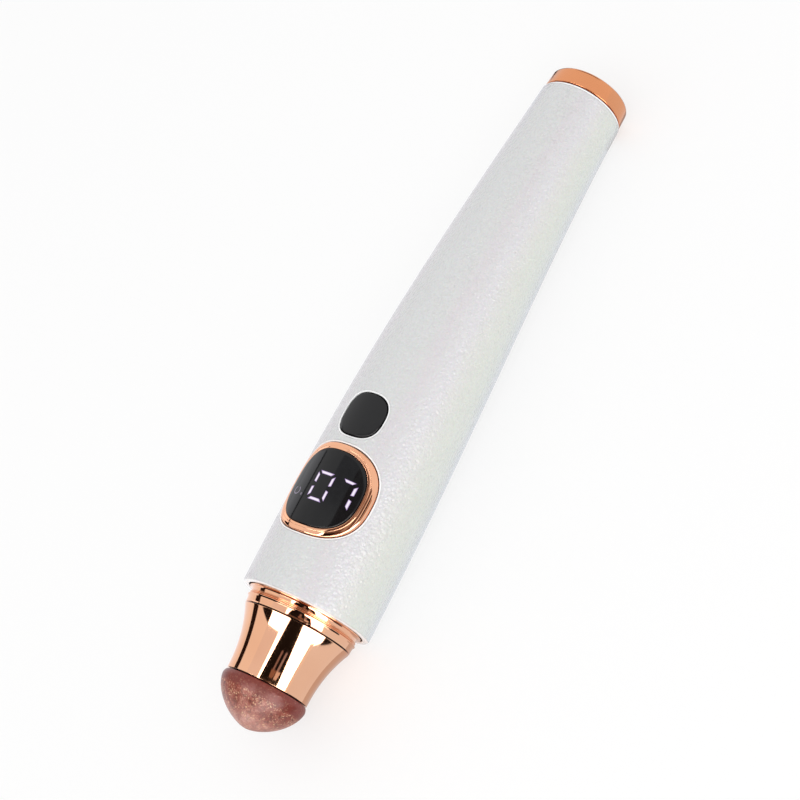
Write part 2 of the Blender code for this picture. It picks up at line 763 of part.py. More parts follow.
def make_board_parts():
    """Display module, chip, coil and capacitors on the board."""
    half = SHELF_HALF - GAP
    rings = [(share * half, draped(SHELF_RISE)) for share in reversed(WINDOW_RING_SHARES)]
    rings += [(half, draped(SHELF_RISE)), (half, flat(ON_BOARD))]
    finish(squircle_body("display_module", DISPLAY_CENTRE, rings), CHIP_BLACK)
    chip_half = CHIP_WIDTH / 2
    chip_centre = SCREW_STATION + CHIP_BEHIND
    chip = span_box(
        "controller_chip",
        (chip_centre - chip_half, -chip_half, ON_BOARD),
        (chip_centre + chip_half, chip_half, ON_BOARD + CHIP_HEIGHT),
        SMALL_EDGE,
    )
    finish(chip, CHIP_BLACK, smooth=False)
    waist = COIL_RADIUS - COIL_WAIST
    coil_outline = [
        (COIL_HEIGHT, 0.0), (COIL_HEIGHT, COIL_RADIUS), (COIL_HEIGHT - COIL_FLANGE, COIL_RADIUS),
        (COIL_HEIGHT - COIL_FLANGE, waist), (COIL_FLANGE, waist), (COIL_FLANGE, COIL_RADIUS),
        (0.0, COIL_RADIUS), (0.0, 0.0),
    ]
    coil_place = (SCREW_STATION + COIL_BEHIND, 0.0, ON_BOARD)
    coil = turned("power_coil", coil_outline, SMALL_SIDES, coil_place, turn=(0.0, 0.0, 0.0))
    finish(coil, CHIP_BLACK)
    for number, side in ((1, -1), (2, 1)):
        size = (CAPACITOR_WIDTH, CAPACITOR_LENGTH, CAPACITOR_HEIGHT)
        x = SCREW_STATION - CAPACITOR_BEFORE
        spot = (x, side * CAPACITOR_OFFSET, ON_BOARD + CAPACITOR_HEIGHT / 2)
        finish(box(f"capacitor_{number}", size, spot, SMALL_EDGE), HEATER_AMBER, smooth=False)


def make_screws():
    """Slotted pan-head screws through the board into the bulkheads."""
    for name, (x, y) in screw_places().items():
        low = -SCREW_LENGTH
        outline = [
            (SCREW_HEAD_HEIGHT, 0.0), (SCREW_HEAD_HEIGHT, SCREW_HEAD_RADIUS - SMALL_EDGE),
            (SCREW_HEAD_HEIGHT - SMALL_EDGE, SCREW_HEAD_RADIUS), (0.0, SCREW_HEAD_RADIUS),
            (0.0, SCREW_RADIUS), (low + SMALL_EDGE, SCREW_RADIUS),
            (low, SCREW_RADIUS - SMALL_EDGE), (low, 0.0),
        ]
        head = turned(name, outline, SMALL_SIDES, (x, y, ON_BOARD), turn=(0.0, 0.0, 0.0))
        slot_size = (SCREW_HEAD_RADIUS * 3, SCREW_SLOT_WIDTH, SCREW_SLOT_DEPTH * 2)
        slot = box(f"{name}_slot", slot_size, (x, y, ON_BOARD + SCREW_HEAD_HEIGHT))
        finish(combine(head, slot), SILVER)


def bay_spans():
    """Start and end of each open bay of the tray, between its bulkheads."""
    spans = [(BLOCK_END, FIRST_BULKHEAD)]
    first = FIRST_BULKHEAD + BULKHEAD
    for i in range(BAY_COUNT):
        spans.append((first + i * BAY_PITCH, first + (i + 1) * BAY_PITCH - BULKHEAD))
    return spans


def make_tray():
    """Trough with bulkheads that hold the battery, the board and the motor."""
    stations = np.linspace(TRAY_END, TRAY_START, TRAY_STATIONS)
    outline = [(TRAY_END, 0.0)]
    outline += [(x, tray_radius(x)) for x in stations]
    outline.append((TRAY_START, 0.0))
    tray = bow(to_mesh(turned("inner_tray", outline)))
    wide = MOUTH_RADIUS
    far = TRAY_END + OVERRUN
    combine(tray, span_box(
        "tray_top_cut", (BLOCK_END, -wide, BOARD_TOP), (far, wide, wide + OVERRUN)
    ))
    recess = BOARD_WIDTH / 2 + GAP
    combine(tray, span_box(
        "board_recess", (BLOCK_END, -recess, BULKHEAD_TOP), (far, recess, wide + OVERRUN)
    ))
    for number, (start, end) in enumerate(bay_spans()):
        bay_outline = [(end, 0.0)]
        bay_outline += [(x, tray_radius(x) - TRAY_WALL) for x in (end, start)]
        bay_outline.append((start, 0.0))
        combine(tray, turned(f"tray_bay_{number}", bay_outline, SMALL_SIDES))
    battery_hole = solid_outline(
        FIRST_BULKHEAD + BULKHEAD, LAST_BULKHEAD, BATTERY_RADIUS + GAP
    )
    combine(tray, turned(
        "battery_bore", battery_hole, ROUND_SIDES, (0.0, 0.0, -BATTERY_DROP)
    ))
    sleeve = MOTOR_RADIUS + GAP + SLEEVE_WALL + GAP
    combine(tray, turned(
        "sleeve_bore", solid_outline(TRAY_START - OVERRUN, BLOCK_END + GAP, sleeve)
    ))
    ribbon = RIBBON_WIDTH / 2 + GAP
    combine(tray, span_box(
        "ribbon_slot",
        (TRAY_START - OVERRUN, -ribbon, MOTOR_RADIUS),
        (FIRST_BULKHEAD, ribbon, RIBBON_HEIGHT + RIBBON_THICKNESS / 2 + GAP),
    ))
    for name, (x, y) in screw_places().items():
        depth = ON_BOARD - SCREW_LENGTH - GAP
        hole = solid_outline(depth, BOARD_TOP + OVERRUN, SCREW_RADIUS + GAP)
        combine(tray, turned(
            f"{name}_hole", hole, SMALL_SIDES, (x, y, 0.0), turn=(0.0, 0.0, 0.0)
        ))
    finish(tray, TRAY_WHITE)


def make_battery():
    """Round cell with broken edges and a raised terminal at its tail end."""
    outline = [
        (BATTERY_LENGTH + BATTERY_TERMINAL, 0.0),
        (BATTERY_LENGTH + BATTERY_TERMINAL, BATTERY_TERMINAL_RADIUS),
        (BATTERY_LENGTH, BATTERY_TERMINAL_RADIUS),
        (BATTERY_LENGTH, BATTERY_RADIUS - BATTERY_EDGE),
        (BATTERY_LENGTH - BATTERY_EDGE, BATTERY_RADIUS),
        (BATTERY_EDGE, BATTERY_RADIUS),
        (0.0, BATTERY_RADIUS - BATTERY_EDGE),
        (0.0, 0.0),
    ]
    spot = (BATTERY_START, 0.0, -BATTERY_DROP)
    finish(turned("battery_cell", outline, location=spot), BATTERY_BLUE)


def make_motor():
    """Motor can, its rear end, rubber sleeve, shaft and half-round weight."""
    can = [
        (MOTOR_LENGTH, 0.0), (MOTOR_LENGTH, MOTOR_RADIUS - MOTOR_EDGE),
        (MOTOR_LENGTH - MOTOR_EDGE, MOTOR_RADIUS), (MOTOR_EDGE, MOTOR_RADIUS),
        (0.0, MOTOR_RADIUS - MOTOR_EDGE), (0.0, SHAFT_RADIUS + GAP),
        (SHAFT_SUNK + GAP, SHAFT_RADIUS + GAP), (SHAFT_SUNK + GAP, 0.0),
    ]
    finish(turned("motor_can", can, location=(MOTOR_START, 0.0, 0.0)), SILVER)
    end = solid_outline(0.0, MOTOR_END_LENGTH, MOTOR_END_RADIUS, SMALL_EDGE)
    finish(turned("motor_end_cap", end, location=(MOTOR_END + GAP, 0.0, 0.0)), CHIP_BLACK)
    bore = MOTOR_RADIUS + GAP
    sleeve = ring_outline(0.0, SLEEVE_LENGTH, bore + SLEEVE_WALL, bore)
    spot = (BLOCK_END - SLEEVE_LENGTH, 0.0, 0.0)
    finish(turned("motor_sleeve", sleeve, location=spot, closed=True), RUBBER)
    reach = MOTOR_START + SHAFT_SUNK - WEIGHT_FRONT + SHAFT_TIP
    shaft = solid_outline(0.0, reach, SHAFT_RADIUS, SMALL_EDGE)
    spot = (WEIGHT_FRONT - SHAFT_TIP, 0.0, 0.0)
    finish(turned("motor_shaft", shaft, SMALL_SIDES, spot), SILVER)
    half_round = [
        (WEIGHT_RADIUS * math.cos(a), WEIGHT_RADIUS * math.sin(a))
        for a in np.linspace(-math.pi / 2, math.pi / 2, SMALL_SIDES)
    ]
    hub = [
        (WEIGHT_HUB * math.cos(a), WEIGHT_HUB * math.sin(a))
        for a in np.linspace(math.pi / 2, math.pi * 3 / 2, SMALL_SIDES // 2)
    ]
    outlines = [half_round + hub, circle(SHAFT_RADIUS + GAP)]
    centre = ((WEIGHT_FRONT + WEIGHT_BACK) / 2, 0.0, 0.0)
    weight = plate("eccentric_weight", outlines, WEIGHT_LENGTH, centre, ALONG_X)
    finish(weight, SILVER)


def make_trim_ring():
    """Ring in the mouth: a cove, two fine beads and a rounded band."""
    outer = bore_radius(0.0) - GAP
    inner = outer - TRIM_WALL
    floor = outer - TRIM_COVE_DEPTH
    outline = [(TRIM_INSIDE, outer), (0.0, outer)]
    for share in np.linspace(0.0, 1.0, CORNER_STEPS + 2)[1:]:
        outline.append((-share * TRIM_COVE, floor + TRIM_COVE_DEPTH * (1.0 - share) ** 2))
    x = -TRIM_COVE
    for _ in range(2):
        outline.append((x - TRIM_BEAD / 4, floor + TRIM_BEAD_HEIGHT))
        outline.append((x - TRIM_BEAD * 3 / 4, floor + TRIM_BEAD_HEIGHT))
        outline.append((x - TRIM_BEAD, floor))
        x -= TRIM_BEAD
    for angle in np.linspace(0.0, math.pi, CORNER_STEPS + 2):
        along = x - TRIM_BAND * (1.0 - math.cos(angle)) / 2
        outline.append((along, floor + TRIM_BAND_HEIGHT * math.sin(angle) ** 0.5))
    outline.append((TRIM_FRONT, inner))
    outline.append((TRIM_INSIDE, inner))
    finish(turned("trim_ring", dedupe(outline), BARREL_SIDES, closed=True), ROSE_GOLD)


def dedupe(outline):
    """The outline without points that repeat the one before."""
    kept = [outline[0]]
    for point in outline[1:]:
        if math.dist(point, kept[-1]) > MERGE_DISTANCE:
            kept.append(point)
    return kept


def collar_radius(share):
    """Outer radius of the collar, from its top (0) to its end (1)."""
    flare = (1.0 - share) ** COLLAR_POWER
    return COLLAR_END_RADIUS + (COLLAR_TOP_RADIUS - COLLAR_END_RADIUS) * flare


def make_collar():
    """Concave flare with a spigot for the trim ring and a web for the heater."""
    spigot = bore_radius(0.0) - GAP - TRIM_WALL - GAP
    outline = [(COLLAR_START + SPIGOT_LENGTH, spigot), (COLLAR_START, spigot)]
    outline.append((COLLAR_START, COLLAR_TOP_RADIUS - COLLAR_EDGE))
    for share in np.linspace(COLLAR_EDGE / COLLAR_LENGTH, 1.0, COLLAR_STATIONS):
        outline.append((COLLAR_START - share * COLLAR_LENGTH, collar_radius(share)))
    bore = COLLAR_END_RADIUS - COLLAR_WALL
    outline.append((COLLAR_FRONT, bore))
    outline.append((WEB_FRONT, bore))
    outline.append((WEB_FRONT, WEB_BORE))
    outline.append((WEB_BACK, WEB_BORE))
    for x in np.linspace(WEB_BACK, COLLAR_START, CORNER_STEPS + 1):
        share = (COLLAR_START - x) / COLLAR_LENGTH
        inner = min(collar_radius(share) - COLLAR_WALL, spigot - SPIGOT_WALL)
        outline.append((x, inner))
    outline.append((COLLAR_START + SPIGOT_LENGTH, spigot - SPIGOT_WALL))
    finish(turned("head_collar", dedupe(outline), BARREL_SIDES, closed=True), ROSE_GOLD)


def make_stone():
    """Rounded cone of stone, with a spigot and a socket behind."""
    socket = SPREADER_RADIUS + GAP
    outline = [(SPIGOT_FACE, socket), (SPIGOT_FACE, STONE_SPIGOT_RADIUS)]
    outline.append((STONE_BACK, STONE_SPIGOT_RADIUS))
    outline.append((STONE_BACK, STONE_SHOULDER_RADIUS))
    outline.append(((STONE_BACK + STONE_WIDEST) / 2, STONE_RADIUS - SMALL_EDGE / 2))
    for angle in np.linspace(0.0, math.pi / 2, STONE_STATIONS):
        along = STONE_DOME * math.sin(angle) ** (2 / STONE_POWER)
        radius = STONE_RADIUS * max(math.cos(angle), 0.0) ** (2 / STONE_POWER)
        outline.append((STONE_WIDEST - along, radius if angle < math.pi / 2 else 0.0))
    outline.append((SPIGOT_FACE - STONE_SPIGOT - STONE_SOCKET, 0.0))
    outline.append((SPIGOT_FACE - STONE_SPIGOT - STONE_SOCKET, socket))
    body = outline[:-2]
    tip_up = [outline[-2], outline[-1]]
    finish(turned("massage_stone", dedupe(tip_up + body), BARREL_SIDES), STONE)


def make_heater():
    """Seal, heat spreader, heating film and temperature bead."""
    bore = COLLAR_END_RADIUS - COLLAR_WALL
    seal = ring_outline(
        COLLAR_FRONT + GAP / 2, SPIGOT_FACE, bore - GAP, STONE_SPIGOT_RADIUS + GAP
    )
    finish(turned("stone_seal", seal, closed=True), RUBBER)
    floor = STONE_BACK - STONE_SOCKET + GAP
    spreader = [
        (FLANGE_BACK, 0.0), (FLANGE_BACK, bore - GAP), (FLANGE_FRONT, bore - GAP),
        (FLANGE_FRONT, SPREADER_RADIUS), (floor, SPREADER_RADIUS), (floor, 0.0),
    ]
    finish(turned("heat_spreader", spreader), ALUMINIUM)
    heater = solid_outline(WEB_FRONT, HEATER_BACK, WEB_BORE - GAP)
    finish(turned("heater_film", heater), HEATER_AMBER)
    mesh = bpy.data.meshes.new("thermistor")
    body = bmesh.new()
    bmesh.ops.create_uvsphere(body, u_segments=10, v_segments=6, radius=THERMISTOR_RADIUS)
    body.to_mesh(mesh)
    body.free()
    spot = (HEATER_BACK + GAP + THERMISTOR_RADIUS, THERMISTOR_OFFSET, 0.0)
    finish(place("thermistor", mesh, spot), CHIP_BLACK)


def make_ribbon():
    """Flat ribbon from the heater, over the motor, to the board's front edge."""
    half = RIBBON_WIDTH / 2
    start = HEATER_BACK + GAP + RIBBON_THICKNESS / 2
    reach = WEB_BORE - GAP - RIBBON_THICKNESS / 2
    low = math.sqrt(reach * reach - half * half) - GAP
    edge = (BOARD_TOP + BOARD_BOTTOM) / 2
    path = [
        (start, low - half / 2), (start, low), (WEB_BACK + GAP, low),
        (WEIGHT_FRONT - GAP, RIBBON_HEIGHT), (BLOCK_END, RIBBON_HEIGHT),
        (BOARD_START - RIBBON_WIDTH / 2, edge), (BOARD_START - GAP, edge),
    ]
    mesh = bpy.data.meshes.new("heater_ribbon")
    points = [(x, side * half, z) for x, z in path for side in (-1, 1)]
    faces = [(2 * i, 2 * i + 2, 2 * i + 3, 2 * i + 1) for i in range(len(path) - 1)]
    mesh.from_pydata(points, [], faces)
    ribbon = place("heater_ribbon", mesh)
    thicken = ribbon.modifiers.new("thickness", "SOLIDIFY")
    thicken.thickness = RIBBON_THICKNESS
    thicken.offset = 0.0
    thicken.use_even_offset = True
    finish(ribbon, HEATER_AMBER, smooth=False)


def make_tail_cap():
    """Turned cap with a skirt, side grooves for the board and the slot."""
    skirt = bore_radius(BARREL_LENGTH) - GAP
    end = CAP_LENGTH - CAP_ROUND
    centre = (CAP_END_RADIUS - CAP_ROUND, end)
    outline = [(CAP_LENGTH, 0.0)]
    outline += [(x, r) for r, x in corner(centre, CAP_ROUND, 90.0, 0.0)]
    outline += [(GAP, CAP_RADIUS), (GAP, skirt), (-CAP_SKIRT_LENGTH, skirt)]
    outline += [(-CAP_SKIRT_LENGTH, CAP_BORE_RADIUS), (CAP_LENGTH - CAP_END_WALL, CAP_BORE_RADIUS)]
    outline.append((CAP_LENGTH - CAP_END_WALL, 0.0))
    cap = turned("tail_cap", outline, BARREL_SIDES, parent=TAIL_AXIS)
    slot = plate(
        "socket_slot",
        [stadium(SOCKET_WIDTH + 2 * GAP, SOCKET_HEIGHT + 2 * GAP)],
        CAP_END_WALL + 2 * OVERRUN,
        (CAP_LENGTH, 0.0, 0.0),
        ALONG_X,
        TAIL_AXIS,
    )
    combine(cap, slot)
    low, high = charger_levels()
    groove = span_box(
        "charger_groove",
        (-CAP_SKIRT_LENGTH - OVERRUN, -CHARGER_WIDTH / 2 - GAP, low - GAP),
        (charger_end() + GAP, CHARGER_WIDTH / 2 + GAP, high + GAP),
        parent=TAIL_AXIS,
    )
    combine(cap, groove)
    finish(cap, ROSE_GOLD)


def stadium(width, height):
    """Slot outline for a piece that lies along X: height first, then width."""
    return rounded_rectangle(height, width, height / 2 - GAP / 10, CORNER_STEPS + 1)


def charger_levels():
    """Underside and top of the charging board, under the socket."""
    top = -(SOCKET_HEIGHT / 2 + GAP)
    return top - BOARD_THICKNESS, top


def charger_end():
    """Outer end of the charging board, inside the cap's end wall."""
    return CAP_LENGTH - CAP_END_WALL - GAP


def make_charger():
    """Charging board in the cap, with the socket's shell and tongue."""
    low, high = charger_levels()
    end = charger_end()
    size = [rounded_rectangle(CHARGER_LENGTH, CHARGER_WIDTH, SMALL_EDGE)]
    centre = (end - CHARGER_LENGTH / 2, 0.0, (low + high) / 2)
    board = plate("charging_board", size, BOARD_THICKNESS, centre, parent=TAIL_AXIS)
    finish(board, BOARD_GREEN, smooth=False)
    mouth = CAP_LENGTH - SOCKET_RECESS
    inner_width = SOCKET_WIDTH - 2 * SOCKET_WALL
    inner_height = SOCKET_HEIGHT - 2 * SOCKET_WALL
    shell_outlines = [stadium(SOCKET_WIDTH, SOCKET_HEIGHT), stadium(inner_width, inner_height)]
    centre = (mouth - SOCKET_LENGTH / 2, 0.0, 0.0)
    shell = plate("socket_shell", shell_outlines, SOCKET_LENGTH, centre, ALONG_X, TAIL_AXIS)
    finish(shell, SILVER)
    back = mouth - SOCKET_LENGTH
    base_height = inner_height / 2 - GAP
    base = span_box(
        "socket_tongue",
        (back, -TONGUE_WIDTH / 2, -base_height),
        (back + TONGUE_BASE, TONGUE_WIDTH / 2, base_height),
        parent=TAIL_AXIS,
    )
    blade = span_box(
        "socket_blade",
        (back + TONGUE_BASE / 2, -TONGUE_WIDTH / 2 + SMALL_EDGE, -TONGUE_THICKNESS / 2),
        (mouth - SOCKET_RECESS * 2, TONGUE_WIDTH / 2 - SMALL_EDGE, TONGUE_THICKNESS / 2),
        SMALL_EDGE / 2,
        TAIL_AXIS,
    )
    finish(combine(base, blade, "UNION"), BLACK_GLOSS, smooth=False)


def make_wires():
    """Leads of the motor, the battery and the charging socket."""
    colours = (("red", WIRE_RED, 1), ("black", WIRE_BLACK, -1))
    clear = WIRE_RADIUS + GAP
    board_middle = (BOARD_TOP + BOARD_BOTTOM) / 2
    for name, material, side in colours:
        y = side * (RIBBON_WIDTH / 2 + clear + GAP)
        start = MOTOR_END + GAP + MOTOR_END_LENGTH + clear
        motor_points = [
            (start, y, 0.0), (start, y, BOARD_BOTTOM - clear),
            (BOARD_START - clear, y, board_middle),
        ]
        finish(wire(f"motor_lead_{name}", motor_points), material)
        y = side * WIRE_SPREAD
        back = BATTERY_END + clear
        low = BATTERY_TERMINAL_RADIUS - BATTERY_DROP + GAP
        high = BOARD_BOTTOM - GAP
        battery_points = [(back, y, low), (back, y, high)]
        finish(wire(f"battery_lead_{name}", battery_points, steps=1), material)
        finish(wire(f"charge_lead_{name}", charge_points(y, board_middle)), material)


def charge_points(y, board_middle):
    """Run of a charging lead from the board's end to the charging board."""
    clear = WIRE_RADIUS + GAP
    charger_middle = sum(charger_levels()) / 2
    start = BOARD_END + clear
    end = BARREL_LENGTH + charger_end() - CHARGER_LENGTH - clear
    points = []
    for along_share, rise_share in LEAD_SHARES:
        x = start + (end - start) * along_share
        low = charger_middle - spine_drop(x)
        points.append((x, y, low + (board_middle - low) * rise_share))
    return points


make_barrel()
make_bezel()
make_window()
make_button()
make_switch()
make_board()
make_board_parts()
make_screws()
make_tray()
make_battery()
make_motor()
make_trim_ring()
make_collar()
make_stone()
make_heater()
make_ribbon()
make_tail_cap()
make_charger()
make_wires()
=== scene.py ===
"""Looks of the eye massager wand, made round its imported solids.

In the wand's own frame X runs along the barrel from its mouth to its tail, Y
runs across and Z points out of the display. The outer pieces are fine
surfaces of the solids' own forms, the pieces inside keep their solids, and
every piece has its finish. A studio of cards lights and mirrors in the metal.
"""

import math

import bmesh
import bpy
import numpy as np
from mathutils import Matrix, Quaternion, Vector


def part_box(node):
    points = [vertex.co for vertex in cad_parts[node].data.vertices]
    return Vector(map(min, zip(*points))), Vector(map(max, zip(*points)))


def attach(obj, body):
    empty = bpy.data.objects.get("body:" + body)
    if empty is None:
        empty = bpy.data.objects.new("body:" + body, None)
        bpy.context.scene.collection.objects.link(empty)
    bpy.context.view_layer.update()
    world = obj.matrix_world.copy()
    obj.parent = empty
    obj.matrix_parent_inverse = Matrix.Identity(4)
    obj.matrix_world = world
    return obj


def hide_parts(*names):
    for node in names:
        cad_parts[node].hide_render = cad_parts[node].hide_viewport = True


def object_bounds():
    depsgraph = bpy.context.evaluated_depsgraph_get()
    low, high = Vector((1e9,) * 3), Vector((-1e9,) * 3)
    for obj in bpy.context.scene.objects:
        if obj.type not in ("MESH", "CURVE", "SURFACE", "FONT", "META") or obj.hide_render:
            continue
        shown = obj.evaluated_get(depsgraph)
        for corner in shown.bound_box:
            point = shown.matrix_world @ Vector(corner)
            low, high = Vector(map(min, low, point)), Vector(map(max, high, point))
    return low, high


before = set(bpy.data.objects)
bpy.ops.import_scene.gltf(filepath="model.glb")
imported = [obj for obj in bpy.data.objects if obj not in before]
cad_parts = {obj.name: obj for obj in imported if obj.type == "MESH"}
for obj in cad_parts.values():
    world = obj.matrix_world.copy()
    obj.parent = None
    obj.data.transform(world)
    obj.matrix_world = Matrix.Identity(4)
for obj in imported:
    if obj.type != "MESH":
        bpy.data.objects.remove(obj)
cad_box = [list(corner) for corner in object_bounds()]

MM = 0.001
UP = math.radians(90.0)
FULL_TURN = math.radians(360.0)

# Where the wand lies: its mouth along X, and the height of its head's axis
MOUTH_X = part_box("barrel")[0].x
AXIS_Z = (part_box("trim_ring")[0].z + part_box("trim_ring")[1].z) / 2

# A round section stands inside the flat sides of the solids
SOLID_SIDES = 40
SLACK_SHARE = 0.9996
FIT = math.cos(math.pi / SOLID_SIDES) * SLACK_SHARE

# Barrel
BARREL_LENGTH = 127.1 * MM
BARREL_WALL = 1.4 * MM
BARREL_RADII = (14.5 * MM, 14.28 * MM, 13.08 * MM, 11.29 * MM, 9.67 * MM)
TAIL_DROP = 4.867 * MM
SPINE_POWER = 3
MOUTH_LIP = 0.65 * MM
TAIL_LIP = 0.4 * MM
TAIL_LIP_REACH = 1.6 * TAIL_LIP
TAIL_SKIN_REACH = 1.9 * TAIL_LIP
INNER_LIP = 0.2 * MM
LIP_FADE = 0.3
LIP_STEPS = 7
BARREL_COLUMNS = 180
OPENING_LIP = 0.2 * MM
OPENING_LIP_FOOT = 1.3 * OPENING_LIP
# Depth below the skin from which the openings' walls and the bore take the painted inside shade
INSIDE_DEPTH = 1.15 * OPENING_LIP
# Painted highlight round the top of each opening: the white rim's width, its fade and the rings
# that hold it
HIGHLIGHT_RIM = 0.18 * MM
HIGHLIGHT_RIM_FADE = 0.4
HIGHLIGHT_RIM_RINGS = (1.2, 0.6)
OPENING_RINGS = 6
SKIN_CROWDING = 0.8
BORE_CROWDING = 1.2

# Display and button
SQUIRCLE_POWER = 2.65
SQUIRCLE_SIDES = 220
DISPLAY_CENTRE = 22.75 * MM
BEZEL_HALF = 10.2 * MM
BEZEL_BAND = 1.6 * MM
BEZEL_PROUD = 0.3 * MM
SHELF_HALF = 7.8 * MM
WINDOW_HALF = 8.53 * MM
WINDOW_PROUD = 0.48 * MM
WINDOW_THICKNESS = 1.25 * MM
WINDOW_EDGE = 0.15 * MM
WINDOW_BACK_SHARES = (1.0, 0.66, 0.33, 0.0)
DISPLAY_OPENING = 10.36 * MM
BUTTON_CENTRE = 40.2 * MM
BUTTON_HALF = 4.92 * MM
BUTTON_PROUD = 0.05 * MM
BUTTON_EDGE = 0.18 * MM
BUTTON_OPENING = 5.18 * MM
BUTTON_DEPTH = 1.5 * MM
BUTTON_WALL = 0.9 * MM
FLANGE_WIDTH = 0.85 * MM
FLANGE_THICKNESS = 0.7 * MM
BOSS_RADIUS = 1.7 * MM
BOSS_LEVEL = 11.8 * MM
BOARD_LEVEL = 7.3 * MM

# Lit plates on the window, whose places are in mm: their two levels over it,
# the stroke of a digit's bars and its share that their middle ends slant, the
# powers by which a bar's glow fades to its ends and sides, and the first
# degree of a ring mark and the lines along its stroke
PLATE_LEVELS = (0.03 * MM, -0.05 * MM)
STROKE = 0.62
CUT_SLANT = 0.3
END_FADE_POWER = 6
SIDE_FADE_POWER = 1.5
MARK_START = 30.0
MARK_LINES = (-0.5, -0.17, 0.17, 0.5)

# Tiles of the barrel's skin that hold the two openings
TILE_START = 11.0 * MM
TILE_MIDDLE = 33.93 * MM
TILE_END = 46.4 * MM
TILE_TURN_COLUMNS = 28

# Trim ring, collar, stone and tail cap
TRIM_OUTER = 12.8 * MM
TRIM_WALL = 1.9 * MM
TRIM_INSIDE = 1.7 * MM
TRIM_RIM = 0.2 * MM
TRIM_RIM_DROP = 0.6 * TRIM_RIM
TRIM_COVE = 0.9 * MM
TRIM_COVE_DEPTH = 0.75 * MM
TRIM_BEAD = 0.3 * MM
TRIM_BEAD_HEIGHT = 0.15 * MM
TRIM_BEAD_POWER = 0.8
TRIM_BAND = 1.95 * MM
TRIM_BAND_HEIGHT = 0.45 * MM
TRIM_BAND_RISE = 0.16
TRIM_BAND_POWER = 2.4
GAP = 0.3 * MM
COLLAR_LENGTH = 13.25 * MM
COLLAR_TOP_RADIUS = 11.95 * MM
COLLAR_END_RADIUS = 9.15 * MM
COLLAR_POWER = 2.2
COLLAR_FLARE = (0.012, 0.992)
COLLAR_WALL = 0.95 * MM
COLLAR_NECK = 3.0 * MM
COLLAR_NECK_BORE = 9.3 * MM
WEB_FRONT = -15.0 * MM
WEB_BACK = -13.8 * MM
WEB_BORE = 5.6 * MM
SPIGOT_RADIUS = 10.6 * MM
SPIGOT_LENGTH = 5.0 * MM
SPIGOT_WALL = 1.0 * MM
STONE_SHOULDER_RADIUS = 9.1 * MM
STONE_RADIUS = 9.45 * MM
STONE_SHOULDER = 1.05 * MM
STONE_DOME = 8.1 * MM
STONE_POWER = 1.65
STONE_SPIGOT_RADIUS = 6.8 * MM
STONE_SPIGOT = 2.0 * MM
STONE_SOCKET_RADIUS = 5.3 * MM
STONE_SOCKET = 3.3 * MM
STONE_BAND = 2.8 * MM
STONE_BAND_SKEW = 0.05
STONE_BAND_FADE = 0.5 * MM
STONE_SEAM = 0.45 * MM
STONE_TIP = 3.0 * MM
STONE_TIP_FADE = 5.0 * MM
CAP_RADIUS = 9.48 * MM
CAP_END_RADIUS = 9.3 * MM
CAP_LENGTH = 4.49 * MM
CAP_ROUND = 0.8 * MM
CAP_END_WALL = 1.6 * MM
CAP_FACE_SHARES = (0.35, 0.7, 0.92)
CAP_SKIRT_RADIUS = 7.95 * MM
CAP_SKIRT_BORE = 7.35 * MM
CAP_SKIRT_LENGTH = 6.0 * MM
SLOT_WIDTH = 9.54 * MM
SLOT_HEIGHT = 3.86 * MM
SLOT_LIP = 0.15 * MM
SOCKET_WIDTH = 8.94 * MM
SOCKET_HEIGHT = 3.26 * MM
SOCKET_WALL = 0.3 * MM
SOCKET_LENGTH = 7.35 * MM
SOCKET_RECESS = 0.3 * MM
TONGUE_TOP = 0.35 * MM
CONTACT_COUNT = 12
CONTACT_PITCH = 0.5 * MM
CONTACT_WIDTH = 0.26 * MM
CONTACT_LENGTH = 2.6 * MM
CONTACT_RECESS = 3.6 * MM
CONTACT_SUNK = 0.02 * MM
CONTACT_HEIGHT = 0.06 * MM
SMALL_ROUND = 0.12 * MM
ROUND_COLUMNS = 160

# Steps along the curves of the pieces and of the studio's cards
SKIN_STEPS = (11, 32, 18, 66, 3)
CREST_STEPS = 66
WINDOW_STEPS = 20
BUTTON_STEPS = 14
BAR_STEPS = (14, 7)
MARK_STEPS = 33
COVE_STEPS = 41
BEAD_STEPS = 9
BAND_STEPS = 60
FLARE_STEPS = 70
DOME_STEPS = 72
SHOULDER_STEPS = 10
RIM_STEPS = 12
SLOT_STEPS = 5
CARD_STEPS = (13, 25)

# Sharp edges of shading, the distance at which a seam closes, the least number
# to divide by, and the rounds of the search for a point's station on the spine
SHARP_ANGLE = math.radians(38.0)
SEAM = 0.0005 * MM
TINY = 1e-9
SEARCH_ROUNDS = 4

TRIM_FRONT = -(TRIM_RIM + TRIM_COVE + 2 * TRIM_BEAD + TRIM_BAND)
COLLAR_START = TRIM_FRONT - GAP
COLLAR_FRONT = COLLAR_START - COLLAR_LENGTH
STONE_BACK = COLLAR_FRONT - GAP
STONE_WIDEST = STONE_BACK - STONE_SHOULDER
RADIUS_CURVE = np.polyfit(
    np.linspace(0.0, BARREL_LENGTH, len(BARREL_RADII)), BARREL_RADII, len(BARREL_RADII) - 1
)
TAIL_SLOPE = math.atan2(SPINE_POWER * TAIL_DROP, BARREL_LENGTH)


def barrel_radius(x):
    """Outer radius of the barrel: a fourth degree curve through its five radii."""
    return FIT * np.polyval(RADIUS_CURVE, x)


def spine_drop(x):
    """Drop of the spine: the tail's drop times the cube of the share of length."""
    return TAIL_DROP * np.clip(x / BARREL_LENGTH, 0.0, None) ** SPINE_POWER


def spine_slope(x):
    """Angle of the spine, whose tangent is the rate at which it drops."""
    share = np.clip(x / BARREL_LENGTH, 0.0, None) ** (SPINE_POWER - 1)
    return np.arctan(SPINE_POWER * TAIL_DROP / BARREL_LENGTH * share)


def in_world(x, y, z):
    """Points of the wand's own frame, moved to where the wand lies."""
    x, y, z = np.broadcast_arrays(x, y, z)
    return np.stack([x + MOUTH_X, y, z + AXIS_Z], axis=-1)


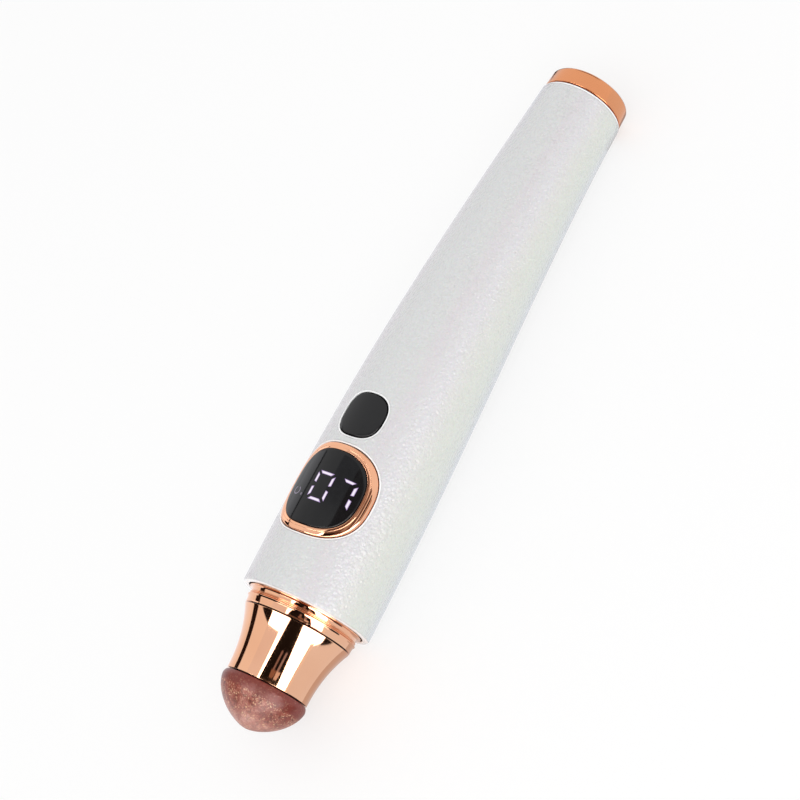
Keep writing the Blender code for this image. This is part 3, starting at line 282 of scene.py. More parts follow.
def bowed(station, turn, radius):
    """Points about the bowed spine, in sections square to it.

    With up = radius times cos(turn), x is the station plus up times the sine
    of the slope, y is radius times sin(turn), and z is up times the cosine of
    the slope less the drop.
    """
    up = radius * np.cos(turn)
    slope = spine_slope(station)
    x = station + up * np.sin(slope)
    return in_world(x, radius * np.sin(turn), up * np.cos(slope) - spine_drop(station))


def straight(station, turn, radius):
    """Points about the head's axis: y is radius sin(turn), z is radius cos(turn)."""
    return in_world(station, radius * np.sin(turn), radius * np.cos(turn))


def at_tail(x, y, z):
    """Points of the tail's frame, turned down by its slope and moved to its end."""
    sine, cosine = math.sin(TAIL_SLOPE), math.cos(TAIL_SLOPE)
    return in_world(
        BARREL_LENGTH + x * cosine + z * sine, y, z * cosine - x * sine - TAIL_DROP
    )


def draped(rise):
    """Level that follows the barrel's skin, raised by rise.

    z is the root of (radius + rise) squared less y squared, less the drop.
    """
    def level(x, y):
        radius = barrel_radius(x) + rise
        return np.sqrt(np.maximum(radius * radius - y * y, 0.0)) - spine_drop(x)
    return level


def flat(height):
    """Level at one height over the head's axis."""
    return lambda x, y: np.full(np.shape(x), height)


def squircle(half, turn):
    """Rounded square: |x| to the power p plus |y| to the power p is half to p."""
    cosine, sine = np.cos(turn), np.sin(turn)
    power = SQUIRCLE_POWER
    reach = half * (np.abs(cosine) ** power + np.abs(sine) ** power) ** (-1 / power)
    return reach * cosine, reach * sine


def quarter(steps):
    """Pairs of the sine and the cosine of even steps up to a right angle."""
    angle = np.linspace(0.0, UP, steps)
    return np.stack([np.sin(angle), np.cos(angle)], axis=-1)


def between(first, second, share):
    """Ring at a share of the way between two rings, number by number."""
    return tuple(a + (b - a) * share for a, b in zip(first, second))


def softened(outline):
    """Outline whose corners, each (along, radius, round), are eased.

    A corner becomes the parabola that leaves one side and meets the other at
    the given distance from the corner.
    """
    points = np.array(outline)
    run = []
    for before, here, after in zip(np.roll(points, 1, 0), points, np.roll(points, -1, 0)):
        middle, ease = here[:2], here[2]
        if ease == 0.0:
            run.append(middle[None])
            continue
        start = middle + ease * (before[:2] - middle) / np.linalg.norm(before[:2] - middle)
        end = middle + ease * (after[:2] - middle) / np.linalg.norm(after[:2] - middle)
        share = np.linspace(0.0, 1.0, LIP_STEPS)[:, None]
        run.append((1 - share) ** 2 * start + 2 * share * (1 - share) * middle + share**2 * end)
    return np.concatenate(run)


def smooth_run(knots, steps):
    """Cubic curve through the knots that keeps each chord's direction at them."""
    knots = np.array(knots)
    padded = np.vstack([knots[:1], knots, knots[-1:]])
    place = np.linspace(0.0, len(knots) - 1, steps)
    first = np.minimum(place.astype(int), len(knots) - 2)
    share = (place - first)[:, None]
    before, start, end, after = (padded[first + i] for i in range(4))
    return (
        start
        + (end - before) * share / 2
        + (before - 2.5 * start + 2 * end - after / 2) * share**2
        + (1.5 * start - before / 2 - 1.5 * end + after / 2) * share**3
    )


def grid_faces(rows, columns, first=0, wrap_rows=False, wrap_columns=True):
    """Corner numbers of the faces between neighbouring points of a grid."""
    index = first + np.arange(rows * columns).reshape(rows, columns)
    if wrap_rows:
        index = np.vstack([index, index[:1]])
    if wrap_columns:
        index = np.hstack([index, index[:, :1]])
    return np.stack([index[:-1, :-1], index[:-1, 1:], index[1:, 1:], index[1:, :-1]], axis=-1)


def new_mesh(name, points, faces, finish):
    """Mesh of one finish from arrays of points and of four cornered faces."""
    mesh = bpy.data.meshes.new(name)
    mesh.from_pydata(points.reshape(-1, 3).tolist(), [], faces.reshape(-1, 4).tolist())
    mesh.materials.append(finish)
    return mesh


def new_object(name, data):
    """Object with this data, in the scene."""
    item = bpy.data.objects.new(name, data)
    bpy.context.scene.collection.objects.link(item)
    return item


def make_piece(name, points, faces, finish, nodes=(), body="wand"):
    """Mesh piece with closed seams, faces outwards and smooth round skins."""
    mesh = new_mesh(name, points, faces, finish)
    shell = bmesh.new()
    shell.from_mesh(mesh)
    bmesh.ops.remove_doubles(shell, verts=shell.verts, dist=SEAM)
    bmesh.ops.recalc_face_normals(shell, faces=shell.faces)
    shell.to_mesh(mesh)
    shell.free()
    mesh.shade_smooth()
    mesh.set_sharp_from_angle(angle=SHARP_ANGLE)
    piece = new_object(name, mesh)
    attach(piece, body)
    if nodes:
        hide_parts(*nodes)
    return piece


def corners_of(piece):
    """Coordinates of a piece's points as one array, in metres."""
    flat_list = np.empty(len(piece.data.vertices) * 3)
    piece.data.vertices.foreach_get("co", flat_list)
    return flat_list.reshape(-1, 3)


def give_attribute(piece, name, values):
    """A number at each point of the piece, which its finish reads by name."""
    attribute = piece.data.attributes.new(name, "FLOAT", "POINT")
    attribute.data.foreach_set("value", np.asarray(values, dtype=np.float32))


def turns_of(columns):
    """Angles of even steps round a full turn."""
    return np.linspace(0.0, FULL_TURN, columns, endpoint=False)


def lofted(name, layers, finish, nodes, closed=True, body="wand"):
    """Piece through rings of points, the last joined to the first if closed."""
    layers = np.asarray(layers)
    faces = grid_faces(*layers.shape[:2], wrap_rows=closed)
    return make_piece(name, layers, faces, finish, nodes, body)


def turned(name, outline, finish, nodes, closed=True):
    """Turned piece: its outline of (along, radius) carried round the head's axis."""
    points = straight(outline[:, :1], turns_of(ROUND_COLUMNS)[None, :], FIT * outline[:, 1:])
    return lofted(name, points, finish, nodes, closed)


def rounded_squares(centre, rings):
    """Rings of points of rounded squares that take their height from a level.

    Each ring is (half width, level). A ring of no width is a point.
    """
    layers = []
    for half, level in rings:
        x, y = squircle(half, turns_of(SQUIRCLE_SIDES))
        layers.append(in_world(centre + x, y, level(centre + x, y)))
    return layers


# Finishes


def linear(code):
    """Linear colour of an sRGB hex code, with full cover."""
    values = [int(code[i : i + 2], 16) / 255 for i in (1, 3, 5)]
    return (
        *(v / 12.92 if v <= 0.04045 else ((v + 0.055) / 1.055) ** 2.4 for v in values), 1.0,
    )


def per_size(size):
    """Pattern scale whose features are about the given size in mm."""
    return 1.0 / (size * MM)


def feed(tree, socket, value):
    """Link a socket to another node's output, or set it. A text is a hex colour."""
    if isinstance(value, bpy.types.NodeSocket):
        tree.links.new(value, socket)
    else:
        socket.default_value = linear(value) if isinstance(value, str) else value


def dress(tree, item, **inputs):
    """Feed a node's sockets by name. An underscore stands for a space."""
    for key, value in inputs.items():
        feed(tree, item.inputs[key.replace("_", " ")], value)


def add(tree, kind, settings=None, **inputs):
    """A shader node with its settings and what feeds its sockets."""
    item = tree.nodes.new("ShaderNode" + kind)
    for key, value in (settings or {}).items():
        setattr(item, key, value)
    dress(tree, item, **inputs)
    return item


def new_finish(name):
    """A material with its tree, its shader and its Object coordinates."""
    finish = bpy.data.materials.new(name)
    finish.use_nodes = True
    tree = finish.node_tree
    shader = tree.nodes["Principled BSDF"]
    place = add(tree, "TexCoord").outputs["Object"]
    return finish, tree, shader, place


def mix(tree, share, first, second):
    """Colour between two colours, each a hex code or an output.

    The node's sockets for colours are its inputs 6 and 7 and its output 2.
    """
    item = add(tree, "Mix", {"data_type": "RGBA"})
    for number, value in ((0, share), (6, first), (7, second)):
        feed(tree, item.inputs[number], value)
    return item.outputs[2]


def mix_shaders(tree, share, first, second):
    """Shader between the shaders of two nodes."""
    item = add(tree, "MixShader", Fac=share)
    for number, node in ((1, first), (2, second)):
        feed(tree, item.inputs[number], node.outputs[0])
    return item


def ramp(tree, value, stops):
    """Colour or grey by steps along a value. A stop is (place, hex code or grey)."""
    item = add(tree, "ValToRGB", Fac=value)
    elements = item.color_ramp.elements
    for i, (place, colour) in enumerate(stops):
        element = elements[i] if i < len(elements) else elements.new(place)
        element.position = place
        element.color = linear(colour) if isinstance(colour, str) else (colour, colour, colour, 1.0)
    return item.outputs["Color"]


def noise(tree, place, size, detail=3.0, roughness=0.5, distortion=0.0):
    """Cloudy pattern of the given size in mm."""
    return add(
        tree, "TexNoise", Vector=place, Scale=per_size(size), Detail=detail,
        Roughness=roughness, Distortion=distortion,
    ).outputs["Fac"]


def arithmetic(tree, operation, *numbers):
    """One step of arithmetic on numbers or outputs."""
    item = add(tree, "Math", {"operation": operation})
    for socket, value in zip(item.inputs, numbers):
        feed(tree, socket, value)
    return item.outputs[0]


def times(tree, first, second):
    """Product of two numbers or outputs."""
    return arithmetic(tree, "MULTIPLY", first, second)


def rest_of(tree, share):
    """What a share leaves of one."""
    return arithmetic(tree, "SUBTRACT", 1.0, share)


def attribute_of(tree, name):
    """The number that a piece carries under this name."""
    return add(tree, "Attribute", {"attribute_name": name}).outputs["Fac"]


def relief(tree, height, depth):
    """Surface relief whose full height is the given depth in mm."""
    bump = add(tree, "Bump", Height=height, Distance=depth * MM, Strength=1.0)
    return bump.outputs["Normal"]


def pearl_coating():
    """Pearl white coat: pale lengthwise tints of painted sheen, a fine pebble grain,
    and lips of painted highlight.

    The tints are painted sheen: the iridescent colours that give the white its
    mother-of-pearl look, laid by the turn from the top. The grain breaks up the
    gloss into small glints. The lips are painted white as a highlight, and the
    inside, below the openings' lips and along the bore, is painted near black as
    the shade of its groove.
    """
    finish, tree, shader, place = new_finish("pearl coating")
    lip = attribute_of(tree, "lip")
    inside = attribute_of(tree, "inside")
    # Painted sheen: the pearl's iridescent tints are laid by the turn from the top
    wander = noise(tree, place, 18, 2.0)
    drift = arithmetic(tree, "MULTIPLY_ADD", wander, 0.08, attribute_of(tree, "around"))
    painted_sheen_tint = ramp(tree, arithmetic(tree, "SUBTRACT", drift, 0.04), [
        (0.0, "#DCDDDD"), (0.12, "#DCDCDC"), (0.17, "#DEDADD"), (0.22, "#DFDDDF"),
        (0.28, "#E1DFE2"), (0.34, "#E1E0DE"), (0.42, "#DFE1DA"), (0.52, "#DDE0DA"),
        (0.62, "#D9DBDC"), (1.0, "#DCDCDC"),
    ])
    flakes = add(tree, "TexVoronoi", Vector=place, Scale=per_size(0.28))
    flaked = mix(tree, 0.04, painted_sheen_tint, flakes.outputs["Color"])
    # Painted highlight: the lips turn pure white. Painted shade: the inside turns near black.
    coat = mix(tree, inside, mix(tree, lip, flaked, "#FFFFFF"), "#1C1C1E")
    cells = add(
        tree, "TexVoronoi", {"feature": "SMOOTH_F1"}, Vector=place,
        Scale=per_size(0.65), Smoothness=0.3,
    ).outputs["Distance"]
    creases = noise(tree, place, 0.75, 2.0, 0.6, 0.8)
    pebble = arithmetic(tree, "MULTIPLY_ADD", creases, 0.9, cells)
    height = times(tree, pebble, rest_of(tree, arithmetic(tree, "MAXIMUM", lip, inside)))
    gloss = ramp(tree, creases, [(0.3, 0.14), (0.7, 0.09)])
    dress(
        tree, shader, Base_Color=coat, IOR=1.5, Specular_IOR_Level=0.4,
        Roughness=arithmetic(tree, "MULTIPLY_ADD", inside, 0.4, gloss),
        Normal=relief(tree, height, 0.17),
    )
    return finish


def plating(name, pale, deep, gloss):
    """Polished rose gold plating: a mirror with a faint cloud of deeper tone.

    Very fine polishing haze varies the gloss, and a shallow ripple keeps the
    mirrored studio from looking printed. The inside of the gaps towards the tail
    is painted dark as their shade.
    """
    finish, tree, shader, place = new_finish(name)
    cloud = ramp(tree, noise(tree, place, 9, 2.0), [(0.3, 0.0), (0.7, 1.0)])
    haze = noise(tree, place, 0.7, 3.0, 0.6)
    # Painted shade: the inside of the gaps is painted near black
    tone = mix(tree, attribute_of(tree, "inside"), mix(tree, cloud, pale, deep), "#1C120E")
    dress(
        tree, shader, Base_Color=tone, Metallic=1.0,
        Roughness=ramp(tree, haze, [(0.3, gloss), (0.8, gloss + 0.03)]),
        Normal=relief(tree, noise(tree, place, 6, 1.0), 0.002),
    )
    return finish


def black_gloss(name, tone):
    """Black glossy plastic: a deep even black with a clean, slightly hazed shine."""
    finish, tree, shader, place = new_finish(name)
    haze = noise(tree, place, 1.2, 3.0, 0.6)
    dress(
        tree, shader, Base_Color=mix(tree, haze, tone, "#1A1A1C"), IOR=1.49,
        Specular_IOR_Level=0.3, Roughness=ramp(tree, haze, [(0.3, 0.07), (0.8, 0.11)]),
        Normal=relief(tree, noise(tree, place, 4, 1.0), 0.001),
    )
    return finish


def red_stone():
    """Polished red brown stone: cloudy pale patches, dark veins and gold specks.

    The pale clouds give the milky look, stronger at the tip. The specks
    glitter like mica, thickest along the edge of the smoother, darker band
    beside the collar.
    """
    finish, tree, shader, place = new_finish("red brown stone")
    clouds = noise(tree, place, 4.5, 5.0, 0.62, 0.6)
    mottle = noise(tree, place, 0.6, 4.0, 0.75, 0.4)
    body = ramp(tree, arithmetic(tree, "ADD", arithmetic(tree, "SUBTRACT", mottle, 0.5), clouds), [
        (0.28, "#73281C"), (0.42, "#8B3D2E"), (0.54, "#9C5140"), (0.66, "#B47463"),
        (0.8, "#C6958A"),
    ])
    veins = ramp(tree, noise(tree, place, 0.9, 4.0, 0.7), [(0.38, 1.0), (0.5, 0.0)])
    veined = mix(tree, times(tree, veins, 0.75), body, "#4E160D")
    milk = times(tree, attribute_of(tree, "tip"), times(tree, clouds, 0.7))
    milky = mix(tree, milk, veined, "#DDA79B")
    band = attribute_of(tree, "band")
    ground = mix(tree, times(tree, band, 0.85), milky, "#793128")
    grains = ramp(tree, noise(tree, place, 0.32, 1.0, 0.5, 0.5), [(0.58, 0.0), (0.66, 1.0)])
    drifts = noise(tree, place, 1.3, 3.0, 0.65)
    rich = arithmetic(tree, "MULTIPLY_ADD", attribute_of(tree, "seam"), 0.3, drifts)
    few = ramp(tree, rich, [(0.44, 0.0), (0.56, 1.0)])
    specks = times(tree, times(tree, grains, few), rest_of(tree, times(tree, band, 0.8)))
    shown = mix(tree, times(tree, specks, 0.8), ground, "#EBBE96")
    dress(
        tree, shader, Base_Color=shown, IOR=1.5, Specular_IOR_Level=0.35,
        Roughness=ramp(tree, clouds, [(0.3, 0.27), (0.7, 0.4)]),
        Normal=relief(tree, noise(tree, place, 0.4, 3.0, 0.6), 0.02),
    )
    return finish


def lit_segment(name, core, edge, level):
    """Lit mark of the display: a pale core that falls to a deeper tone at its rim."""
    finish, tree, shader, place = new_finish(name)
    uneven = times(tree, noise(tree, place, 0.8, 2.0), 0.2)
    spread = arithmetic(tree, "ADD", attribute_of(tree, "rim"), uneven)
    glow = ramp(tree, spread, [(0.35, core), (1.0, edge)])
    dress(
        tree, shader, Base_Color="#1A171C", Emission_Color=glow,
        Emission_Strength=level, Roughness=0.3, Specular_IOR_Level=0.2,
    )
    return finish


def moulded(name, tone, worn, grain, gloss, depth):
    """Moulded plastic or rubber: a slightly uneven tone and a fine spark grain."""
    finish, tree, shader, place = new_finish(name)
    patch = noise(tree, place, 14 * grain, 3.0)
    spark = noise(tree, place, grain, 3.0, 0.6)
    dress(
        tree, shader, Base_Color=mix(tree, patch, tone, worn),
        Roughness=ramp(tree, spark, [(0.3, gloss), (0.7, gloss + 0.12)]),
        Normal=relief(tree, spark, depth),
    )
    return finish


def machined(name, tone, worn, grain, gloss, stretch):
    """Metal with fine tool lines: a pattern stretched along one direction."""
    finish, tree, shader, place = new_finish(name)
    lines = add(tree, "Mapping", Vector=place, Scale=stretch).outputs["Vector"]
    lay = noise(tree, lines, grain, 4.0, 0.6)
    stain = noise(tree, place, 5, 2.0)
    dress(
        tree, shader, Base_Color=mix(tree, stain, tone, worn), Metallic=1.0,
        Roughness=ramp(tree, lay, [(0.3, gloss), (0.7, gloss + 0.15)]),
        Normal=relief(tree, lay, 0.004),
    )
    return finish


def circuit_board():
    """Green solder mask: darker copper tracks show through, with gold pads."""
    finish, tree, shader, place = new_finish("green circuit board")
    cells = add(
        tree, "TexBrick", {"offset": 0.5}, Vector=place, Scale=per_size(6.0),
        Color1="#0B4A22", Color2="#0F5A2A", Mortar="#17703A", Mortar_Size=0.045,
    ).outputs["Color"]
    spots = add(tree, "TexVoronoi", Vector=place, Scale=per_size(1.6))
    pads = ramp(tree, spots.outputs["Distance"], [(0.12, 1.0), (0.16, 0.0)])
    shown = mix(tree, times(tree, pads, 0.8), cells, "#B89345")
    dress(
        tree, shader, Base_Color=shown, Roughness=0.38,
        Normal=relief(tree, noise(tree, place, 0.4), 0.006),
    )
    return finish


# Plain white, the table's colour in mirrors, and how much of its white is its own
WHITE = (1.0, 1.0, 1.0, 1.0)
TABLE_IN_MIRRORS = (0.91, 0.96, 1.03, 1.0)
TABLE_GLOW = 0.65


def lit_table():
    """Plain pale table, lit from within as a light box is.

    Over half of its white is its own, so the wand's shadow on it stays soft
    and pale. In mirrors it is even and a little cool.
    """
    finish, tree, shader, place = new_finish("pale table")
    cloud = noise(tree, place, 300, 2.0)
    dress(
        tree, shader, Base_Color=mix(tree, cloud, "#FEFEFE", "#FCFCFC"), Roughness=1.0,
        Specular_IOR_Level=0.0,
    )
    own = add(tree, "Emission", Color=WHITE, Strength=1.0)
    even = add(tree, "Emission", Color=TABLE_IN_MIRRORS, Strength=1.0)
    in_mirrors = add(tree, "LightPath").outputs["Is Glossy Ray"]
    shown = mix_shaders(tree, in_mirrors, mix_shaders(tree, TABLE_GLOW, shader, own), even)
    dress(tree, tree.nodes["Material Output"], Surface=shown.outputs[0])
    return finish


def mirrored_card(name, level):
    """A studio card of one brightness, which only mirrors see."""
    finish = bpy.data.materials.new(name)
    finish.use_nodes = True
    tree = finish.node_tree
    tree.nodes.clear()
    light = add(tree, "Emission", Color=(*level, 1.0), Strength=1.0)
    add(tree, "OutputMaterial", Surface=light.outputs[0])
    return finish


# Pieces


def barrel_profile():
    """Station and radius of each ring: outer skin, tail lip, bore, mouth lip.

    The outer skin's stations are closer under the two openings. The bore
    repeats them backwards at the radius less the wall.
    """
    to_display, over_display, over_button, to_tail, at_lip = SKIN_STEPS
    skin = np.concatenate([
        np.linspace(MOUTH_LIP, TILE_START, to_display)[:-1],
        np.linspace(TILE_START, TILE_MIDDLE, over_display)[:-1],
        np.linspace(TILE_MIDDLE, TILE_END, over_button)[:-1],
        np.linspace(TILE_END, BARREL_LENGTH - TAIL_SKIN_REACH, to_tail),
        np.linspace(BARREL_LENGTH - TAIL_LIP_REACH, BARREL_LENGTH - TAIL_LIP, at_lip),
    ])
    outer = np.stack([skin, barrel_radius(skin)], axis=-1)
    bore = outer[::-1].copy()
    bore[:, 1] -= BARREL_WALL
    sine, cosine = quarter(LIP_STEPS).T
    tail_radius = barrel_radius(BARREL_LENGTH - TAIL_LIP) - TAIL_LIP
    mouth_radius = barrel_radius(MOUTH_LIP) - MOUTH_LIP
    inner_tail = barrel_radius(BARREL_LENGTH) - BARREL_WALL
    inner_mouth = barrel_radius(0.0) - BARREL_WALL
    tail, tail_edge, mouth_edge, mouth = (
        np.stack(pair, axis=-1) for pair in (
            (BARREL_LENGTH - TAIL_LIP + TAIL_LIP * sine, tail_radius + TAIL_LIP * cosine),
            (BARREL_LENGTH - INNER_LIP * (1 - cosine), inner_tail + INNER_LIP * (1 - sine)),
            (INNER_LIP * (1 - sine), inner_mouth + INNER_LIP * (1 - cosine)),
            (MOUTH_LIP - MOUTH_LIP * cosine, mouth_radius + MOUTH_LIP * sine),
        )
    )
    profile = np.concatenate([outer, tail[1:], tail_edge, bore[1:-1], mouth_edge, mouth[:-1]])
    return profile, skin


def tile_rings(centre, half, start, end, skin):
    """Rings of points from a tile's border to an opening and down its wall.

    Each border point is joined to the rounded square's point in the same
    direction from the centre. A share of the way between them is taken in
    station and turn, so every ring lies on the barrel's skin. The lip is a
    quarter round, and the wall drops to the bore, where the rings run back.
    """
    reach = math.radians(TILE_TURN_COLUMNS * 360.0 / BARREL_COLUMNS)
    stations = skin[(skin > start - SEAM) & (skin < end + SEAM)]
    turns = np.linspace(-reach, reach, 2 * TILE_TURN_COLUMNS + 1)
    border_s = np.concatenate([
        np.full(len(turns) - 1, stations[0]), stations[:-1],
        np.full(len(turns) - 1, stations[-1]), stations[:0:-1],
    ])
    border_t = np.concatenate([
        turns[:-1], np.full(len(stations) - 1, reach), turns[:0:-1],
        np.full(len(stations) - 1, -reach),
    ])
    way = np.arctan2(barrel_radius(border_s) * np.sin(border_t), border_s - centre)

    def opening(width, depth=0.0):
        """Station, turn and depth of the opening's ring at a depth under the skin."""
        x, y = squircle(width, way)
        station = centre + x
        for _ in range(SEARCH_ROUNDS):
            radius = barrel_radius(station) - depth
            turn = np.arcsin(y / radius)
            station = centre + x - radius * np.cos(turn) * np.sin(spine_slope(station))
        return station, turn, depth

    outer = half + OPENING_LIP
    share = np.linspace(0.0, 1.0, OPENING_RINGS)
    skin_border, bore_border = (border_s, border_t, 0.0), (border_s, border_t, BARREL_WALL)
    lip, wall = opening(outer), opening(half, BARREL_WALL)
    rings = [between(skin_border, lip, part) for part in share[:-1] ** SKIN_CROWDING]
    # Rings that hold the edge of the painted highlight rim on the skin
    rings += [opening(outer + wider * HIGHLIGHT_RIM) for wider in HIGHLIGHT_RIM_RINGS]
    rings += [
        opening(half + OPENING_LIP * (1 - sine), OPENING_LIP * (1 - cosine))
        for sine, cosine in quarter(LIP_STEPS)
    ]
    rings.append(opening(half, OPENING_LIP_FOOT))
    rings += [between(wall, bore_border, part) for part in share**BORE_CROWDING]
    return np.stack([bowed(s, t, barrel_radius(s) - depth) for s, t, depth in rings])


def make_barrel():
    """Bowed tapered tube, with a tile of rings round each of its two openings."""
    profile, skin = barrel_profile()
    points = bowed(profile[:, :1], turns_of(BARREL_COLUMNS)[None, :], profile[:, 1:])
    faces = grid_faces(len(profile), BARREL_COLUMNS, wrap_rows=True)
    rows, columns = np.indices(faces.shape[:2])
    next_row = (rows + 1) % len(profile)
    low = np.minimum(profile[rows, 0], profile[next_row, 0])
    high = np.maximum(profile[rows, 0], profile[next_row, 0])
    span = TILE_TURN_COLUMNS
    near_top = (columns < span) | (columns >= BARREL_COLUMNS - span)
    in_tile = (low > TILE_START - SEAM) & (high < TILE_END + SEAM) & near_top
    all_points, all_faces = points.reshape(-1, 3), faces[~in_tile]
    for rings in (
        tile_rings(DISPLAY_CENTRE, DISPLAY_OPENING, TILE_START, TILE_MIDDLE, skin),
        tile_rings(BUTTON_CENTRE, BUTTON_OPENING, TILE_MIDDLE, TILE_END, skin),
    ):
        tile = grid_faces(*rings.shape[:2], first=len(all_points)).reshape(-1, 4)
        all_faces = np.concatenate([all_faces, tile])
        all_points = np.concatenate([all_points, rings.reshape(-1, 3)])
    mark_barrel(make_piece(
        "barrel_shell", all_points, all_faces, PEARL, ["barrel"]
    ))


def mark_barrel(barrel):
    """Turn from the top, nearness to a lip and the inside, at each point: where the painted sheen,
    the painted lip highlight and the painted inside shade fall.

    A point's station is its x less its height over the spine times the sine
    of the slope there. The depth is the outer radius less the distance from
    the spine. The turn is a share of half a turn.
    """
    at = corners_of(barrel)
    x, y, z = at[:, 0] - MOUTH_X, at[:, 1], at[:, 2] - AXIS_Z
    station = x
    for _ in range(SEARCH_ROUNDS):
        up = (z + spine_drop(station)) / np.cos(spine_slope(station))
        station = x - up * np.sin(spine_slope(station))
    depth = barrel_radius(station) - np.hypot(y, up)
    # The turn from the top places the painted pearl sheen
    give_attribute(barrel, "around", np.abs(np.arctan2(y, up)) / math.pi)
    power = SQUIRCLE_POWER
    # Painted highlight: lip is one at the mouth and tail ends and on a white rim round the top of
    # each opening
    lip = np.clip((MOUTH_LIP / 2 - station) / (LIP_FADE * MOUTH_LIP), 0.0, 1.0)
    tail = station - BARREL_LENGTH + TAIL_LIP_REACH
    lip = np.maximum(lip, np.clip(tail / (LIP_FADE * TAIL_LIP), 0.0, 1.0))
    for centre, half in ((DISPLAY_CENTRE, DISPLAY_OPENING), (BUTTON_CENTRE, BUTTON_OPENING)):
        reach = (np.abs(x - centre) ** power + np.abs(y) ** power) ** (1 / power)
        rim = half + OPENING_LIP + HIGHLIGHT_RIM
        near = np.clip((rim - reach) / (HIGHLIGHT_RIM_FADE * HIGHLIGHT_RIM), 0.0, 1.0)
        lip = np.maximum(lip, np.where(up > 0.0, near, 0.0))
    give_attribute(barrel, "lip", lip)
    # Painted shade: the bore and the openings' walls below their lip are marked inside, to be
    # painted near black
    off_lips = (station > INNER_LIP / 2) & (station < BARREL_LENGTH - INNER_LIP / 2)
    give_attribute(barrel, "inside", off_lips & (depth > INSIDE_DEPTH))


# Share of the way across the bezel's band, and share of its full rise
CREST_KNOTS = (
    (0.0, -0.3), (0.02, 0.05), (0.05, 0.45), (0.1, 0.68), (0.2, 0.85), (0.36, 0.95), (0.5, 0.99),
    (0.56, 1.0), (0.61, 0.9), (0.66, 1.0), (0.88, 1.0), (0.94, 0.9), (0.975, 0.7), (1.0, 0.3),
)


def make_bezel():
    """Frame round the display: a slope up to a flat crest with one fine groove."""
    shelf = draped(-WINDOW_THICKNESS - GAP)
    rings = [(BEZEL_HALF, flat(BOARD_LEVEL)), (BEZEL_HALF, draped(-BARREL_WALL))]
    for across, height in smooth_run(CREST_KNOTS, CREST_STEPS):
        rings.append((BEZEL_HALF - across * BEZEL_BAND, draped(height * BEZEL_PROUD)))
    rings += [
        (BEZEL_HALF - BEZEL_BAND, shelf), (SHELF_HALF, shelf), (SHELF_HALF, flat(BOARD_LEVEL)),
    ]
    layers = rounded_squares(DISPLAY_CENTRE, rings)
    lofted("bezel_frame", layers, BEZEL_GOLD, ["display_bezel"])


def rounded_top(half, edge, rise, rings_in):
    """Rings of a top from its middle out, over a round edge to the side."""
    rings = [(share * (half - edge), draped(rise)) for share in np.linspace(0.0, 1.0, rings_in)]
    for sine, cosine in quarter(LIP_STEPS)[1:]:
        rings.append((half - edge * (1 - sine), draped(rise - edge * (1 - cosine))))
    return rings


def make_window():
    """Black window curved like the barrel, with a round edge."""
    rings = rounded_top(WINDOW_HALF, WINDOW_EDGE, WINDOW_PROUD, WINDOW_STEPS)
    rings += [(share * WINDOW_HALF, draped(-WINDOW_THICKNESS)) for share in WINDOW_BACK_SHARES]
    layers = rounded_squares(DISPLAY_CENTRE, rings)
    lofted("window_glass", layers, WINDOW_BLACK, ["display_window"], closed=False)


def make_button():
    """Push button with a round edge, its skirt, flange and boss behind."""
    depth = BARREL_WALL + 1.25 * GAP
    flange, under = draped(-depth), draped(-depth - FLANGE_THICKNESS)
    ceiling, boss = draped(BUTTON_PROUD - BUTTON_DEPTH), flat(BOSS_LEVEL)
    outer, hollow = BUTTON_HALF + FLANGE_WIDTH, BUTTON_HALF - BUTTON_WALL
    rings = rounded_top(BUTTON_HALF, BUTTON_EDGE, BUTTON_PROUD, BUTTON_STEPS) + [
        (BUTTON_HALF, flange), (outer, flange), (outer, under), (hollow, under),
        (hollow, ceiling), (BOSS_RADIUS, ceiling), (BOSS_RADIUS, boss), (0.0, boss),
    ]
    lofted(
        "button_cap", rounded_squares(BUTTON_CENTRE, rings), BUTTON_BLACK,
        ["power_button"], closed=False, body="button",
    )


def plate_patch(corners, along, across):
    """Flat patch between four corners: the shares along and across blend them."""
    u = np.linspace(0.0, 1.0, along)[:, None, None]
    v = np.linspace(0.0, 1.0, across)[None, :, None]
    a, b, c, d = (np.array(corner) for corner in corners)
    return (1 - u) * (1 - v) * a + u * (1 - v) * b + u * v * c + (1 - u) * v * d


def window_plate(name, x, y, finish):
    """Thin plate draped over the window, from a grid of the places it covers."""
    layers = [in_world(x, y, draped(WINDOW_PROUD + rise)(x, y)) for rise in PLATE_LEVELS]
    index = np.arange(x.size).reshape(x.shape)
    border = np.concatenate([index[0, :-1], index[:-1, -1], index[-1, :0:-1], index[:0:-1, 0]])
    after = np.roll(border, -1)
    sides = np.stack([border, after, after + x.size, border + x.size], axis=-1)
    top = grid_faces(*x.shape, wrap_columns=False).reshape(-1, 4)
    faces = np.concatenate([top, top + x.size, sides])
    return make_piece(name, np.stack(layers), faces, finish)


def make_segment(name, corners):
    """Lit bar of a digit, from four corners (x, m) in mm, m running towards -Y.

    Its rim value grows from nothing at the middle to one at the border, by a
    high power of the way to its ends and a low one of that to its long sides.
    """
    along, across = BAR_STEPS
    plan = plate_patch(corners, along, across)
    piece = window_plate(name, plan[..., 0] * MM, -plan[..., 1] * MM, LIT)
    u = np.abs(np.linspace(-1.0, 1.0, along))[:, None] ** END_FADE_POWER
    v = np.abs(np.linspace(-1.0, 1.0, across))[None, :] ** SIDE_FADE_POWER
    give_attribute(piece, "rim", np.tile(np.maximum(u, v).reshape(-1), 2))


def level_bar(name, x, left, right, inward):
    """Bar across a digit: its inner side is shorter, with mitred ends."""
    inner = x + inward * STROKE
    make_segment(name, [(x, left), (x, right), (inner, right - STROKE), (inner, left + STROKE)])


def upright_bar(name, m, low, high, inward, mitred_end):
    """Bar along a digit: mitred at its outer end, cut aslant at its middle end."""
    inner = m + inward * STROKE
    outer_end, cut, side = (high, low, 1) if mitred_end == "high" else (low, high, -1)
    make_segment(name, [
        (cut + side * CUT_SLANT * STROKE, m), (outer_end, m), (outer_end - side * STROKE, inner),
        (cut, inner),
    ])


